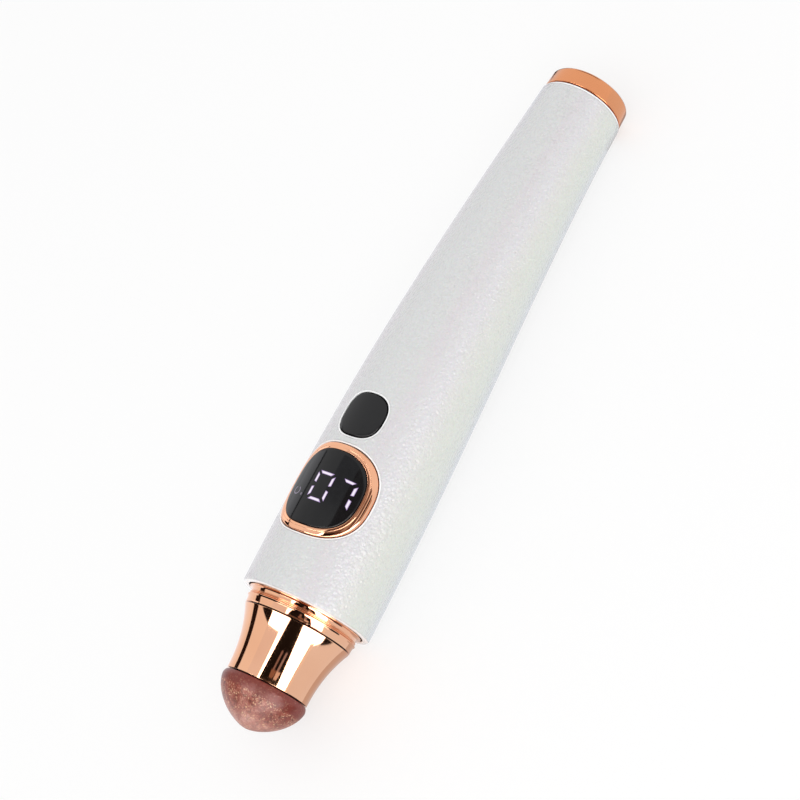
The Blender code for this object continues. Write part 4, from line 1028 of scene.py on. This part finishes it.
def make_ring_mark(name, x, m, radius, stroke, degrees):
    """Thin ring or part of one on the window, faintly lit, from numbers in mm.

    The two sides of its stroke run at the radius plus and less half the
    stroke, through the given angle.
    """
    angle = np.radians(np.linspace(MARK_START, MARK_START + degrees, MARK_STEPS))[:, None]
    reach = radius + stroke * np.array(MARK_LINES)[None, :]
    across, down = (x + reach * np.cos(angle)) * MM, -(m + reach * np.sin(angle)) * MM
    piece = window_plate(name, across, down, FAINT)
    at = corners_of(piece)
    far = np.hypot(at[:, 0] - MOUTH_X - x * MM, at[:, 1] + m * MM)
    give_attribute(piece, "rim", np.abs(far - radius * MM) / (stroke * MM / 2))


def make_digits():
    """The digits 07 of seven-bar marks, a ring mark and a dot."""
    level_bar("zero_top", 26.05, -1.97, 1.67, -1)
    level_bar("zero_bottom", 19.5, -1.78, 1.72, 1)
    upright_bar("zero_left_high", -2.35, 23.3, 25.65, 1, "high")
    upright_bar("zero_left_low", -2.28, 20.1, 22.45, 1, "low")
    upright_bar("zero_right_high", 2.17, 23.2, 25.55, -1, "high")
    upright_bar("zero_right_low", 2.2, 19.9, 22.3, -1, "low")
    level_bar("seven_top", 26.05, 4.02, 6.62, -1)
    upright_bar("seven_right_high", 7.22, 23.25, 25.5, -1, "high")
    upright_bar("seven_right_low", 7.27, 20.2, 22.47, -1, "low")
    make_ring_mark("degree_ring", 20.7, -5.93, 0.82, 0.3, 300.0)
    make_ring_mark("degree_dot", 20.06, -4.13, 0.2, 0.16, 360.0)


def mark_gap_shade(piece, limit):
    """Mark the tail side's points that lie no farther out than the limit, for the painted shade of
    the gap.
    """
    at = corners_of(piece)
    near = np.hypot(at[:, 1], at[:, 2] - AXIS_Z) < FIT * limit + SEAM
    give_attribute(piece, "inside", near & (at[:, 0] - MOUTH_X > COLLAR_START - SEAM))


# Slopes of the trim ring, each (share of the way, fall for a unit of length)
COVE_SLOPES = (
    (0.0, 8.0), (0.03, 8.0), (0.06, 0.85), (0.28, 0.8), (0.34, 0.22), (0.6, 0.15), (1.0, 0.05),
)
BAND_SLOPES = (
    (0.0, 0.0), (0.14, 0.8), (0.25, 0.8), (0.29, 0.24), (0.45, 0.18), (0.64, 0.08), (0.86, 0.02),
    (1.0, 0.0),
)


def fall_by(slopes, share):
    """Fall along a run: the running sum of its slope, straight between the knots."""
    slope = np.interp(share, *np.transpose(slopes))
    steps = np.diff(share) * (slope[1:] + slope[:-1]) / 2
    return np.concatenate([[0.0], np.cumsum(steps)])


def make_trim_ring():
    """Ring in the mouth: a round rim, a cove, two fine beads and a band.

    The rim is a quarter round. Under it the cove drops in a step and a short
    slope and runs out flat. A bead follows a power of a half sine. The band
    rises by a power over a share of its width to a crown, drops in a short
    slope and eases to the collar.
    """
    floor = TRIM_OUTER - TRIM_COVE_DEPTH
    inner = TRIM_OUTER - TRIM_WALL
    foot = -TRIM_RIM - TRIM_COVE
    sine, cosine = quarter(LIP_STEPS).T
    runs = [(-TRIM_RIM * sine, TRIM_OUTER - TRIM_RIM_DROP * (1 - cosine))]
    share = np.linspace(0.0, 1.0, COVE_STEPS)
    drop = fall_by(COVE_SLOPES, share)
    cove = floor + (runs[0][1][-1] - floor) * (1 - drop / drop[-1])
    runs.append((-TRIM_RIM - share[1:] * TRIM_COVE, cove[1:]))
    share = np.linspace(0.0, 1.0, BEAD_STEPS)[1:]
    bead = floor + TRIM_BEAD_HEIGHT * np.sin(math.pi * share) ** TRIM_BEAD_POWER
    runs += [(foot - (number + share) * TRIM_BEAD, bead) for number in (0, 1)]
    share = np.linspace(0.0, 1.0, BAND_STEPS)
    to_crown = np.clip(1 - share / TRIM_BAND_RISE, 0.0, None)
    rise = TRIM_BAND_HEIGHT * (1 - to_crown**TRIM_BAND_POWER)
    band = floor + rise - TRIM_BAND * fall_by(BAND_SLOPES, share)
    runs.append((foot - 2 * TRIM_BEAD - share[1:] * TRIM_BAND, band[1:]))
    ends = np.array([(TRIM_FRONT, inner), (TRIM_INSIDE, inner), (TRIM_INSIDE, TRIM_OUTER)])
    outline = np.concatenate([*(np.stack(run, axis=-1) for run in runs), ends])
    mark_gap_shade(turned("mouth_ring", outline, COLLAR_GOLD, ["trim_ring"]), inner)


def make_collar():
    """Concave flare, its spigot and the web behind the stone.

    The flare's radius is the end radius plus the difference to the top times
    the share left to the end, to the collar's power.
    """
    share = np.linspace(*COLLAR_FLARE, FLARE_STEPS)
    spread = COLLAR_TOP_RADIUS - COLLAR_END_RADIUS
    flare = COLLAR_END_RADIUS + spread * (1 - share) ** COLLAR_POWER
    outside = np.stack([COLLAR_START - share * COLLAR_LENGTH, flare], axis=-1)
    bore = COLLAR_END_RADIUS - COLLAR_WALL
    back = COLLAR_START + SPIGOT_LENGTH
    head = softened([
        (back, SPIGOT_RADIUS, 0.0), (COLLAR_START, SPIGOT_RADIUS, 0.0),
        (COLLAR_START, COLLAR_TOP_RADIUS, SMALL_ROUND / 3), (*outside[0], 0.0),
    ])
    foot = softened([
        (*outside[-1], 0.0), (COLLAR_FRONT, COLLAR_END_RADIUS, SMALL_ROUND / 2),
        (COLLAR_FRONT, bore, SMALL_ROUND / 2), (WEB_FRONT, bore, 0.0), (WEB_FRONT, WEB_BORE, 0.0),
        (WEB_BACK, WEB_BORE, 0.0), (WEB_BACK, bore, 0.0),
        (COLLAR_START - COLLAR_NECK, COLLAR_NECK_BORE, 0.0),
        (back, SPIGOT_RADIUS - SPIGOT_WALL, 0.0),
    ])
    outline = np.concatenate([head[:-1], outside, foot[1:]])
    collar = turned("flared_collar", outline, COLLAR_GOLD, ["head_collar"])
    mark_gap_shade(collar, SPIGOT_RADIUS)


def make_stone():
    """Rounded cone: along and radius are powers of a sine and a cosine.

    Both powers are two over the stone's power, which lies between a cone's
    and a ball's. The shoulder eases in to the collar's width. The darker
    band's edge, its seam, lies a little askew, and the tip value grows from
    nothing near the band to one at the dome's end.
    """
    sine, cosine = quarter(DOME_STEPS).T
    power = 2 / STONE_POWER
    dome = np.stack([
        STONE_WIDEST - STONE_DOME * sine**power, STONE_RADIUS * np.clip(cosine, 0.0, None) ** power,
    ], axis=-1)
    dome[-1, 1] = 0.0
    rise = np.linspace(0.0, 1.0, SHOULDER_STEPS)[:-1]
    shoulder = np.stack([
        STONE_BACK - rise * STONE_SHOULDER,
        STONE_SHOULDER_RADIUS + (STONE_RADIUS - STONE_SHOULDER_RADIUS) * np.sin(rise * UP),
    ], axis=-1)
    back = np.array([
        (STONE_BACK - STONE_SOCKET, 0.0), (STONE_BACK - STONE_SOCKET, STONE_SOCKET_RADIUS),
        (STONE_BACK + STONE_SPIGOT, STONE_SOCKET_RADIUS),
        (STONE_BACK + STONE_SPIGOT, STONE_SPIGOT_RADIUS), (STONE_BACK, STONE_SPIGOT_RADIUS),
        (STONE_BACK, STONE_SHOULDER_RADIUS - SMALL_ROUND / 2),
    ])
    shoulder[0, 0] -= SMALL_ROUND / 2
    outline = np.concatenate([back, shoulder, dome])
    stone = turned("stone_tip", outline, STONE, ["massage_stone"], closed=False)
    at = corners_of(stone)
    along = STONE_BACK - (at[:, 0] - MOUTH_X)
    before_edge = STONE_BAND - STONE_BAND_SKEW * at[:, 1] - along
    for mark, value in (
        ("band", before_edge / STONE_BAND_FADE), ("seam", 1 - np.abs(before_edge) / STONE_SEAM),
        ("tip", (along - STONE_TIP) / STONE_TIP_FADE),
    ):
        give_attribute(stone, mark, np.clip(value, 0.0, 1.0))


def round_ring(station, radius):
    """Ring of points of a circle in the tail's frame."""
    turn = turns_of(ROUND_COLUMNS)
    return np.full(ROUND_COLUMNS, station), radius * np.sin(turn), radius * np.cos(turn)


def slot_ring(station, width, height):
    """Ring of points of a slot: a straight middle with half round ends.

    Each direction from the centre meets either the flat top or the end round
    at the distance that the two formulas give.
    """
    turn = turns_of(ROUND_COLUMNS)
    sine, cosine = np.sin(turn), np.cos(turn)
    radius = height / 2
    offset = width / 2 - radius
    to_flat = radius / np.maximum(np.abs(cosine), TINY)
    root = np.sqrt(np.maximum(radius**2 - (offset * cosine) ** 2, 0.0))
    to_end = offset * np.abs(sine) + root
    reach = np.where(to_flat * np.abs(sine) <= offset, to_flat, to_end)
    return np.full(ROUND_COLUMNS, station), reach * sine, reach * cosine


def make_tail_cap():
    """Turned cap with a round edge, a slot in its end face and a skirt."""
    side = softened([
        (-CAP_SKIRT_LENGTH, CAP_SKIRT_BORE, 0.0),
        (-CAP_SKIRT_LENGTH, CAP_SKIRT_RADIUS, SMALL_ROUND), (GAP, CAP_SKIRT_RADIUS, 0.0),
        (GAP, CAP_RADIUS, SMALL_ROUND), (CAP_LENGTH - CAP_ROUND, CAP_END_RADIUS, 0.0),
    ])
    sine, cosine = quarter(RIM_STEPS).T
    rim = np.stack([
        CAP_LENGTH - CAP_ROUND * (1 - sine), CAP_END_RADIUS - CAP_ROUND * (1 - cosine),
    ], axis=-1)
    rings = [round_ring(x, FIT * r) for x, r in np.concatenate([side, rim[1:]])]
    face = round_ring(CAP_LENGTH, FIT * (CAP_END_RADIUS - CAP_ROUND))
    mouth = slot_ring(CAP_LENGTH, SLOT_WIDTH + 2 * SLOT_LIP, SLOT_HEIGHT + 2 * SLOT_LIP)
    rings += [between(face, mouth, share) for share in CAP_FACE_SHARES]
    for sine, cosine in quarter(SLOT_STEPS):
        wider = 2 * SLOT_LIP * (1 - sine)
        depth = SLOT_LIP * (1 - cosine)
        rings.append(slot_ring(CAP_LENGTH - depth, SLOT_WIDTH + wider, SLOT_HEIGHT + wider))
    rings.append(slot_ring(CAP_LENGTH - CAP_END_WALL, SLOT_WIDTH, SLOT_HEIGHT))
    rings.append(round_ring(CAP_LENGTH - CAP_END_WALL, CAP_SKIRT_BORE))
    layers = [at_tail(*ring) for ring in rings]
    lofted("end_cap", layers, CAP_GOLD, ["tail_cap"])


def make_socket():
    """Drawn steel shell of the charging socket, and gold contacts on its tongue."""
    mouth = CAP_LENGTH - SOCKET_RECESS
    back = mouth - SOCKET_LENGTH
    lip = SOCKET_WALL / 3
    bore = 2 * SOCKET_WALL
    layers = [
        at_tail(*slot_ring(station, SOCKET_WIDTH - less, SOCKET_HEIGHT - less))
        for station, less in (
            (back, 0.0), (mouth - lip, 0.0), (mouth, lip), (mouth, bore - lip),
            (mouth - lip, bore), (back, bore),
        )
    ]
    lofted("socket_sleeve", layers, STEEL, ["socket_shell"])
    corner = np.array([(x, y, z) for x in (0, 1) for y in (-1, 1) for z in (0, 1)])
    cube = np.array([
        (0, 1, 3, 2), (4, 6, 7, 5), (0, 4, 5, 1), (2, 3, 7, 6), (0, 2, 6, 4), (1, 5, 7, 3),
    ])
    middles = (np.arange(CONTACT_COUNT) - (CONTACT_COUNT - 1) / 2) * CONTACT_PITCH
    x = mouth - CONTACT_RECESS + corner[:, 0] * CONTACT_LENGTH
    y = middles[:, None] + corner[:, 1] * CONTACT_WIDTH / 2
    z = TONGUE_TOP - CONTACT_SUNK + corner[:, 2] * CONTACT_HEIGHT
    faces = np.arange(CONTACT_COUNT)[:, None, None] * len(corner) + cube[None]
    for side, name in ((1, "contacts_upper"), (-1, "contacts_lower")):
        make_piece(name, at_tail(x, y, side * z), faces, CONTACT_GOLD)


# Finishes of this wand, then its pieces

PEARL = pearl_coating()
COLLAR_GOLD = plating("rose gold plating, collar", "#EFB793", "#EAB08C", 0.05)
BEZEL_GOLD = plating("rose gold plating, bezel", "#F5B995", "#EBAB86", 0.02)
CAP_GOLD = plating("rose gold plating, cap", "#E49B6E", "#E09568", 0.16)
WINDOW_BLACK = black_gloss("black window", "#0E0E0F")
BUTTON_BLACK = black_gloss("black button", "#1E1E1F")
STONE = red_stone()
LIT = lit_segment("lit digit", "#F8EFFB", "#A183BC", 1.0)
FAINT = lit_segment("faint mark", "#8E8795", "#5A5462", 1.0)
STEEL = machined("nickel plated steel", "#C9C9C7", "#B5B4B0", 0.5, 0.22, (1.0, 6.0, 6.0))
CONTACT_GOLD = machined("contact gold", "#E2BE6E", "#CFA653", 0.3, 0.2, (1.0, 4.0, 1.0))

make_barrel()
make_bezel()
make_window()
make_button()
make_digits()
make_trim_ring()
make_collar()
make_stone()
make_tail_cap()
make_socket()

BLACK_PLASTIC = moulded("black plastic", "#161617", "#202021", 0.3, 0.42, 0.006)
WHITE_PLASTIC = moulded("white plastic", "#CFCFCB", "#C4C3BE", 0.4, 0.45, 0.008)
RUBBER = moulded("black rubber", "#19191A", "#242425", 0.35, 0.68, 0.012)
AMBER = moulded("amber film", "#B8701C", "#A05E14", 0.5, 0.28, 0.004)
BLUE_WRAP = moulded("blue battery wrap", "#2C5FA3", "#254F8C", 0.6, 0.3, 0.004)
RED_WIRE = moulded("red wire", "#B5201A", "#9C1B16", 0.4, 0.36, 0.004)
BLACK_WIRE = moulded("black wire", "#151516", "#1F1F20", 0.4, 0.36, 0.004)
ALUMINIUM = machined("turned aluminium", "#CFD0D1", "#BFC0C2", 0.4, 0.28, (1.0, 8.0, 8.0))
WEIGHT_METAL = machined("sintered weight metal", "#8D8D8E", "#7C7C7D", 0.2, 0.45, (1.0, 1.0, 1.0))
BOARD = circuit_board()

# The solids inside keep their own form and take only a finish
NODE_FINISHES = (
    (STEEL, "switch_body board_screw_left board_screw_right motor_can motor_shaft"),
    (BLACK_PLASTIC, "switch_stem display_module controller_chip power_coil motor_end_cap"),
    (BLACK_PLASTIC, "thermistor socket_tongue"),
    (BOARD, "main_board charging_board"),
    (AMBER, "capacitor_1 capacitor_2 heater_film heater_ribbon"),
    (WHITE_PLASTIC, "inner_tray"),
    (BLUE_WRAP, "battery_cell"),
    (RUBBER, "motor_sleeve stone_seal"),
    (WEIGHT_METAL, "eccentric_weight"),
    (ALUMINIUM, "heat_spreader"),
    (RED_WIRE, "motor_lead_red battery_lead_red charge_lead_red"),
    (BLACK_WIRE, "motor_lead_black battery_lead_black charge_lead_black"),
)
for finish, node_names in NODE_FINISHES:
    for node_name in node_names.split():
        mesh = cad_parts[node_name].data
        mesh.materials.clear()
        mesh.materials.append(finish)

# Studio: a pale table, soft light for the matt skins, and cards for mirrors

COLLAR_MIDDLE = MOUTH_X + (COLLAR_START + COLLAR_FRONT) / 2
CARD_DISTANCE = 1200 * MM
POSTS = 0.98
FEET = 0.97
TABLE_HALF = 3000 * MM
FLOOR_CARD_HEIGHT = 0.2 * MM


def mirrored_mesh(name, level, points, faces):
    """Mesh of the studio of one brightness, out of all sight but mirrors'."""
    item = new_object(name, new_mesh(name, points, faces, mirrored_card(name, level)))
    for ray in ("camera", "diffuse", "transmission", "volume_scatter", "shadow"):
        setattr(item, "visible_" + ray, False)


def make_card(name, level, corners, share=1.0):
    """Studio card bent round the head's axis, at a share of the usual distance.

    Its four corners are (turn from the top, lean towards the tail) in
    degrees. At a lean and a turn, x is the distance times tan(lean), y the
    distance times sin(turn) and z that times cos(turn).
    """
    plan = np.radians(plate_patch(corners, *CARD_STEPS))
    turn, lean = plan[..., 0], plan[..., 1]
    distance = share * CARD_DISTANCE
    points = np.stack([
        COLLAR_MIDDLE + distance * np.tan(lean), distance * np.sin(turn),
        AXIS_Z + distance * np.cos(turn),
    ], axis=-1)
    mirrored_mesh(name, level, points, grid_faces(*CARD_STEPS, wrap_columns=False))


def make_flat_sheet(corners, height):
    """Points and face of a level sheet, from its corners (x, y) in metres."""
    return np.array([(x, y, height) for x, y in corners]), np.array([(0, 1, 2, 3)])


# Brightness of the cards, as linear red, green and blue
DARK = (0.012, 0.009, 0.008)
DIM = (0.02, 0.012, 0.01)
BROWN = (0.17, 0.12, 0.1)
SHADE = (0.25, 0.2, 0.18)
HALF_LIGHT = (0.45, 0.36, 0.32)
DULL_PANEL = (0.92, 0.92, 0.97)
FAR_LIGHT = (1.05, 1.06, 1.1)
FAR_PANEL = (1.35, 1.35, 1.4)
POST_LEFT = (0.28, 0.2, 0.19)
POST_RIGHT = (0.36, 0.3, 0.32)
FOOT_LEFT = (0.3, 0.17, 0.12)
FOOT_RIGHT = (0.81, 0.67, 0.6)
# Painted shadow of the table under the wand and under its cap
UNDER_SHADE = (0.66, 0.6, 0.58)
CAP_SHADE = (0.45, 0.42, 0.41)
ROOM_SHADE = (0.52, 0.52, 0.54)
WHITE_BOX = (7.0, 6.8, 6.6)

# Cards that bend round the head: name, brightness and corners (turn, lean).
# Posts and feet stand nearer, before the cards behind them, by a last number.
CARDS = (
    ("camera_flag", DARK, ((-35.4, -86), (-18.8, -86), (-8.2, 5), (-58.5, 5))),
    ("camera_flag_top", BROWN, ((-34, 5), (-8.2, 5), (-7, 16.2), (-34, 16.2))),
    ("camera_stand_light", HALF_LIGHT, ((-41.5, 5), (-34, 5), (-34, 16.2), (-41.5, 16.2))),
    ("camera_stand_brown", BROWN, ((-49, 5), (-41.5, 5), (-41.5, 16.2), (-49, 16.2))),
    ("camera_stand_dark", DARK, ((-58, 5.5), (-52.5, 5.2), (-52.5, 16), (-58, 16))),
    ("room_shade", ROOM_SHADE, ((-7, 13), (27, 13), (27, 16.9), (-7, 16.9))),
    ("side_shade", HALF_LIGHT, ((-75, 6.5), (-58.3, 6.2), (-58.3, 15.5), (-75, 15.5))),
    ("side_strip", WHITE_BOX, ((-50.3, -27.5), (-82, -29.2), (-83, 6), (-58.5, 6))),
    ("side_box", WHITE_BOX, ((-35.4, -86), (-91, -86), (-91, -29.7), (-50.3, -27.5))),
    ("top_strip", WHITE_BOX, ((-12.1, -28.5), (-2.5, -28), (-3, 6), (-8.2, 6))),
    ("top_box", WHITE_BOX, ((-14.6, -50), (30.4, -50), (30.2, -25.2), (-12.1, -28.5))),
    ("top_far", DARK, ((-18.8, -86), (30.6, -86), (30.4, -50), (-14.6, -50))),
    ("top_wedge", DARK, ((30.6, -86), (112, -86), (100, -28), (30.2, -25.2))),
    ("dull_panel", DULL_PANEL, ((-2.6, -27.9), (30, -25.1), (30, 6), (-3, 6))),
    ("horizon_gap", DIM, ((69.7, -26.9), (85, -27.4), (79.2, 6.5), (63.3, 6.5))),
    ("horizon_line", DIM, ((64, 6.5), (67, 6.5), (67, 16), (64, 16))),
    ("far_panel", FAR_PANEL, ((67, 6.5), (100, 6.5), (100, 16), (67, 16))),
    ("post_left", POST_LEFT, ((-29.4, -17.4), (-33.9, -17.4), (-33.9, -2.5), (-29.4, -2.5)), POSTS),
    ("post_right", POST_RIGHT, (
        (-40.5, -17.4), (-45.2, -17.4), (-45.8, -2.5), (-40.5, -2.5),
    ), POSTS),
    ("foot_left", FOOT_LEFT, ((-27, -2.4), (-40.6, -2.4), (-38.5, 3), (-29.5, 3)), FEET),
    ("foot_right", FOOT_RIGHT, ((-41.2, -2.4), (-52, -2.4), (-50, 3), (-41.6, 3)), FEET),
    ("tail_flag", SHADE, ((-50, 55), (60, 55), (60, 80), (-50, 80))),
)
for card in CARDS:
    make_card(*card)

# Cards that lie on the table: name, brightness and corners (x, y) in metres
FLOOR_CARDS = (
    ("floor_box", WHITE_BOX, ((-0.105, -0.0865), (-0.21, -0.0865), (-5.6, -2.95), (-1.65, -2.95))),
    ("floor_wedge", DARK, (
        (-0.0722, -0.0338), (-0.135, -0.0338), (-0.3, -0.086), (-0.1014, -0.086),
    )),
    ("floor_gap", DARK, (
        (-0.0745, -0.022), (-0.12, -0.022), (-0.135, -0.0338), (-0.0722, -0.0338),
    )),
    ("floor_flag", DIM, ((0.0865, 0.014), (0.1, 0.014), (0.13, 0.05), (0.097, 0.05))),
    ("floor_far", FAR_LIGHT, ((-1.0, 0.016), (0.08, 0.016), (0.08, 2.9), (-2.9, 2.9))),
    # Painted shadow: three dimmer sheets under the wand and its cap stand for its shadow on the
    # table, which mirrors see in place of the even table
    ("painted_shadow_under_head", UNDER_SHADE, (
        (-0.11, -0.0155), (-0.054, -0.0155), (-0.054, 0.0155), (-0.11, 0.0155),
    )),
    ("painted_shadow_under", UNDER_SHADE, (
        (-0.054, -0.0085), (0.07, -0.006), (0.07, 0.008), (-0.054, 0.0105),
    )),
    ("painted_shadow_under_cap", CAP_SHADE, (
        (0.07, -0.0085), (0.095, -0.0085), (0.095, 0.008), (0.07, 0.008),
    )),
)
for name, level, corners in FLOOR_CARDS:
    mirrored_mesh(name, level, *make_flat_sheet(corners, cad_box[0][2] + FLOOR_CARD_HEIGHT))


def make_table():
    """Plain pale table under the wand."""
    sides = ((-1, -1), (1, -1), (1, 1), (-1, 1))
    sheet = make_flat_sheet([(x * TABLE_HALF, y * TABLE_HALF) for x, y in sides], 0.0)
    table = new_object("table", new_mesh("table", *sheet, lit_table()))
    table.location.z = cad_box[0][2]


def make_world():
    """Even white surroundings: plain white to the eye and in mirrors."""
    world = bpy.data.worlds.new("studio")
    bpy.context.scene.world = world
    world.use_nodes = True
    tree = world.node_tree
    tree.nodes.clear()
    path = add(tree, "LightPath")
    seen = arithmetic(tree, "MAXIMUM", path.outputs["Is Camera Ray"], path.outputs["Is Glossy Ray"])
    seen = arithmetic(tree, "MAXIMUM", seen, path.outputs["Is Transmission Ray"])
    soft = add(tree, "Background", Color=WHITE, Strength=SOFT_LEVEL)
    white = add(tree, "Background", Color=WHITE, Strength=1.0)
    add(tree, "OutputWorld", Surface=mix_shaders(tree, seen, soft, white).outputs[0])


def make_soft_light():
    """Square soft box that lights matt skins and stays out of mirrors."""
    data = bpy.data.lights.new("front_soft_box", "AREA")
    data.shape = "SQUARE"
    data.size = LIGHT_SIZE
    data.energy = LIGHT_POWER
    light = new_object("front_soft_box", data)
    light.location = LIGHT_PLACE
    light.rotation_euler = (LIGHT_AIM - LIGHT_PLACE).to_track_quat("-Z", "Y").to_euler()
    light.visible_glossy = False


def make_camera():
    """Camera at the photograph's angle, rolled so that the wand stands aslant."""
    data = bpy.data.cameras.new("camera")
    data.sensor_width = CAMERA_SENSOR
    data.lens = CAMERA_LENS
    camera = new_object("camera", data)
    aim = (CAMERA_AIM - CAMERA_PLACE).to_track_quat("-Z", "Y")
    roll = Quaternion((0.0, 0.0, 1.0), math.radians(CAMERA_ROLL))
    camera.location = CAMERA_PLACE
    camera.rotation_euler = (aim @ roll).to_euler()
    bpy.context.scene.camera = camera


# Soft light of the surroundings, the soft box in metres and watts, and the camera
SOFT_LEVEL = 0.85
LIGHT_PLACE = Vector((-0.3, -0.42, 0.6))
LIGHT_AIM = Vector((-0.03, 0.0, 0.0))
LIGHT_SIZE = 0.5
LIGHT_POWER = 1.3
CAMERA_PLACE = Vector((-116.34 * MM, -286.9 * MM, 393.1 * MM))
CAMERA_AIM = Vector((-3.3 * MM, 3.62 * MM, 14.5 * MM))
CAMERA_ROLL = -45.844
CAMERA_LENS = 104.23
CAMERA_SENSOR = 36.0

make_table()
make_world()
make_soft_light()
make_camera()
bpy.context.scene.view_settings.view_transform = "Standard"
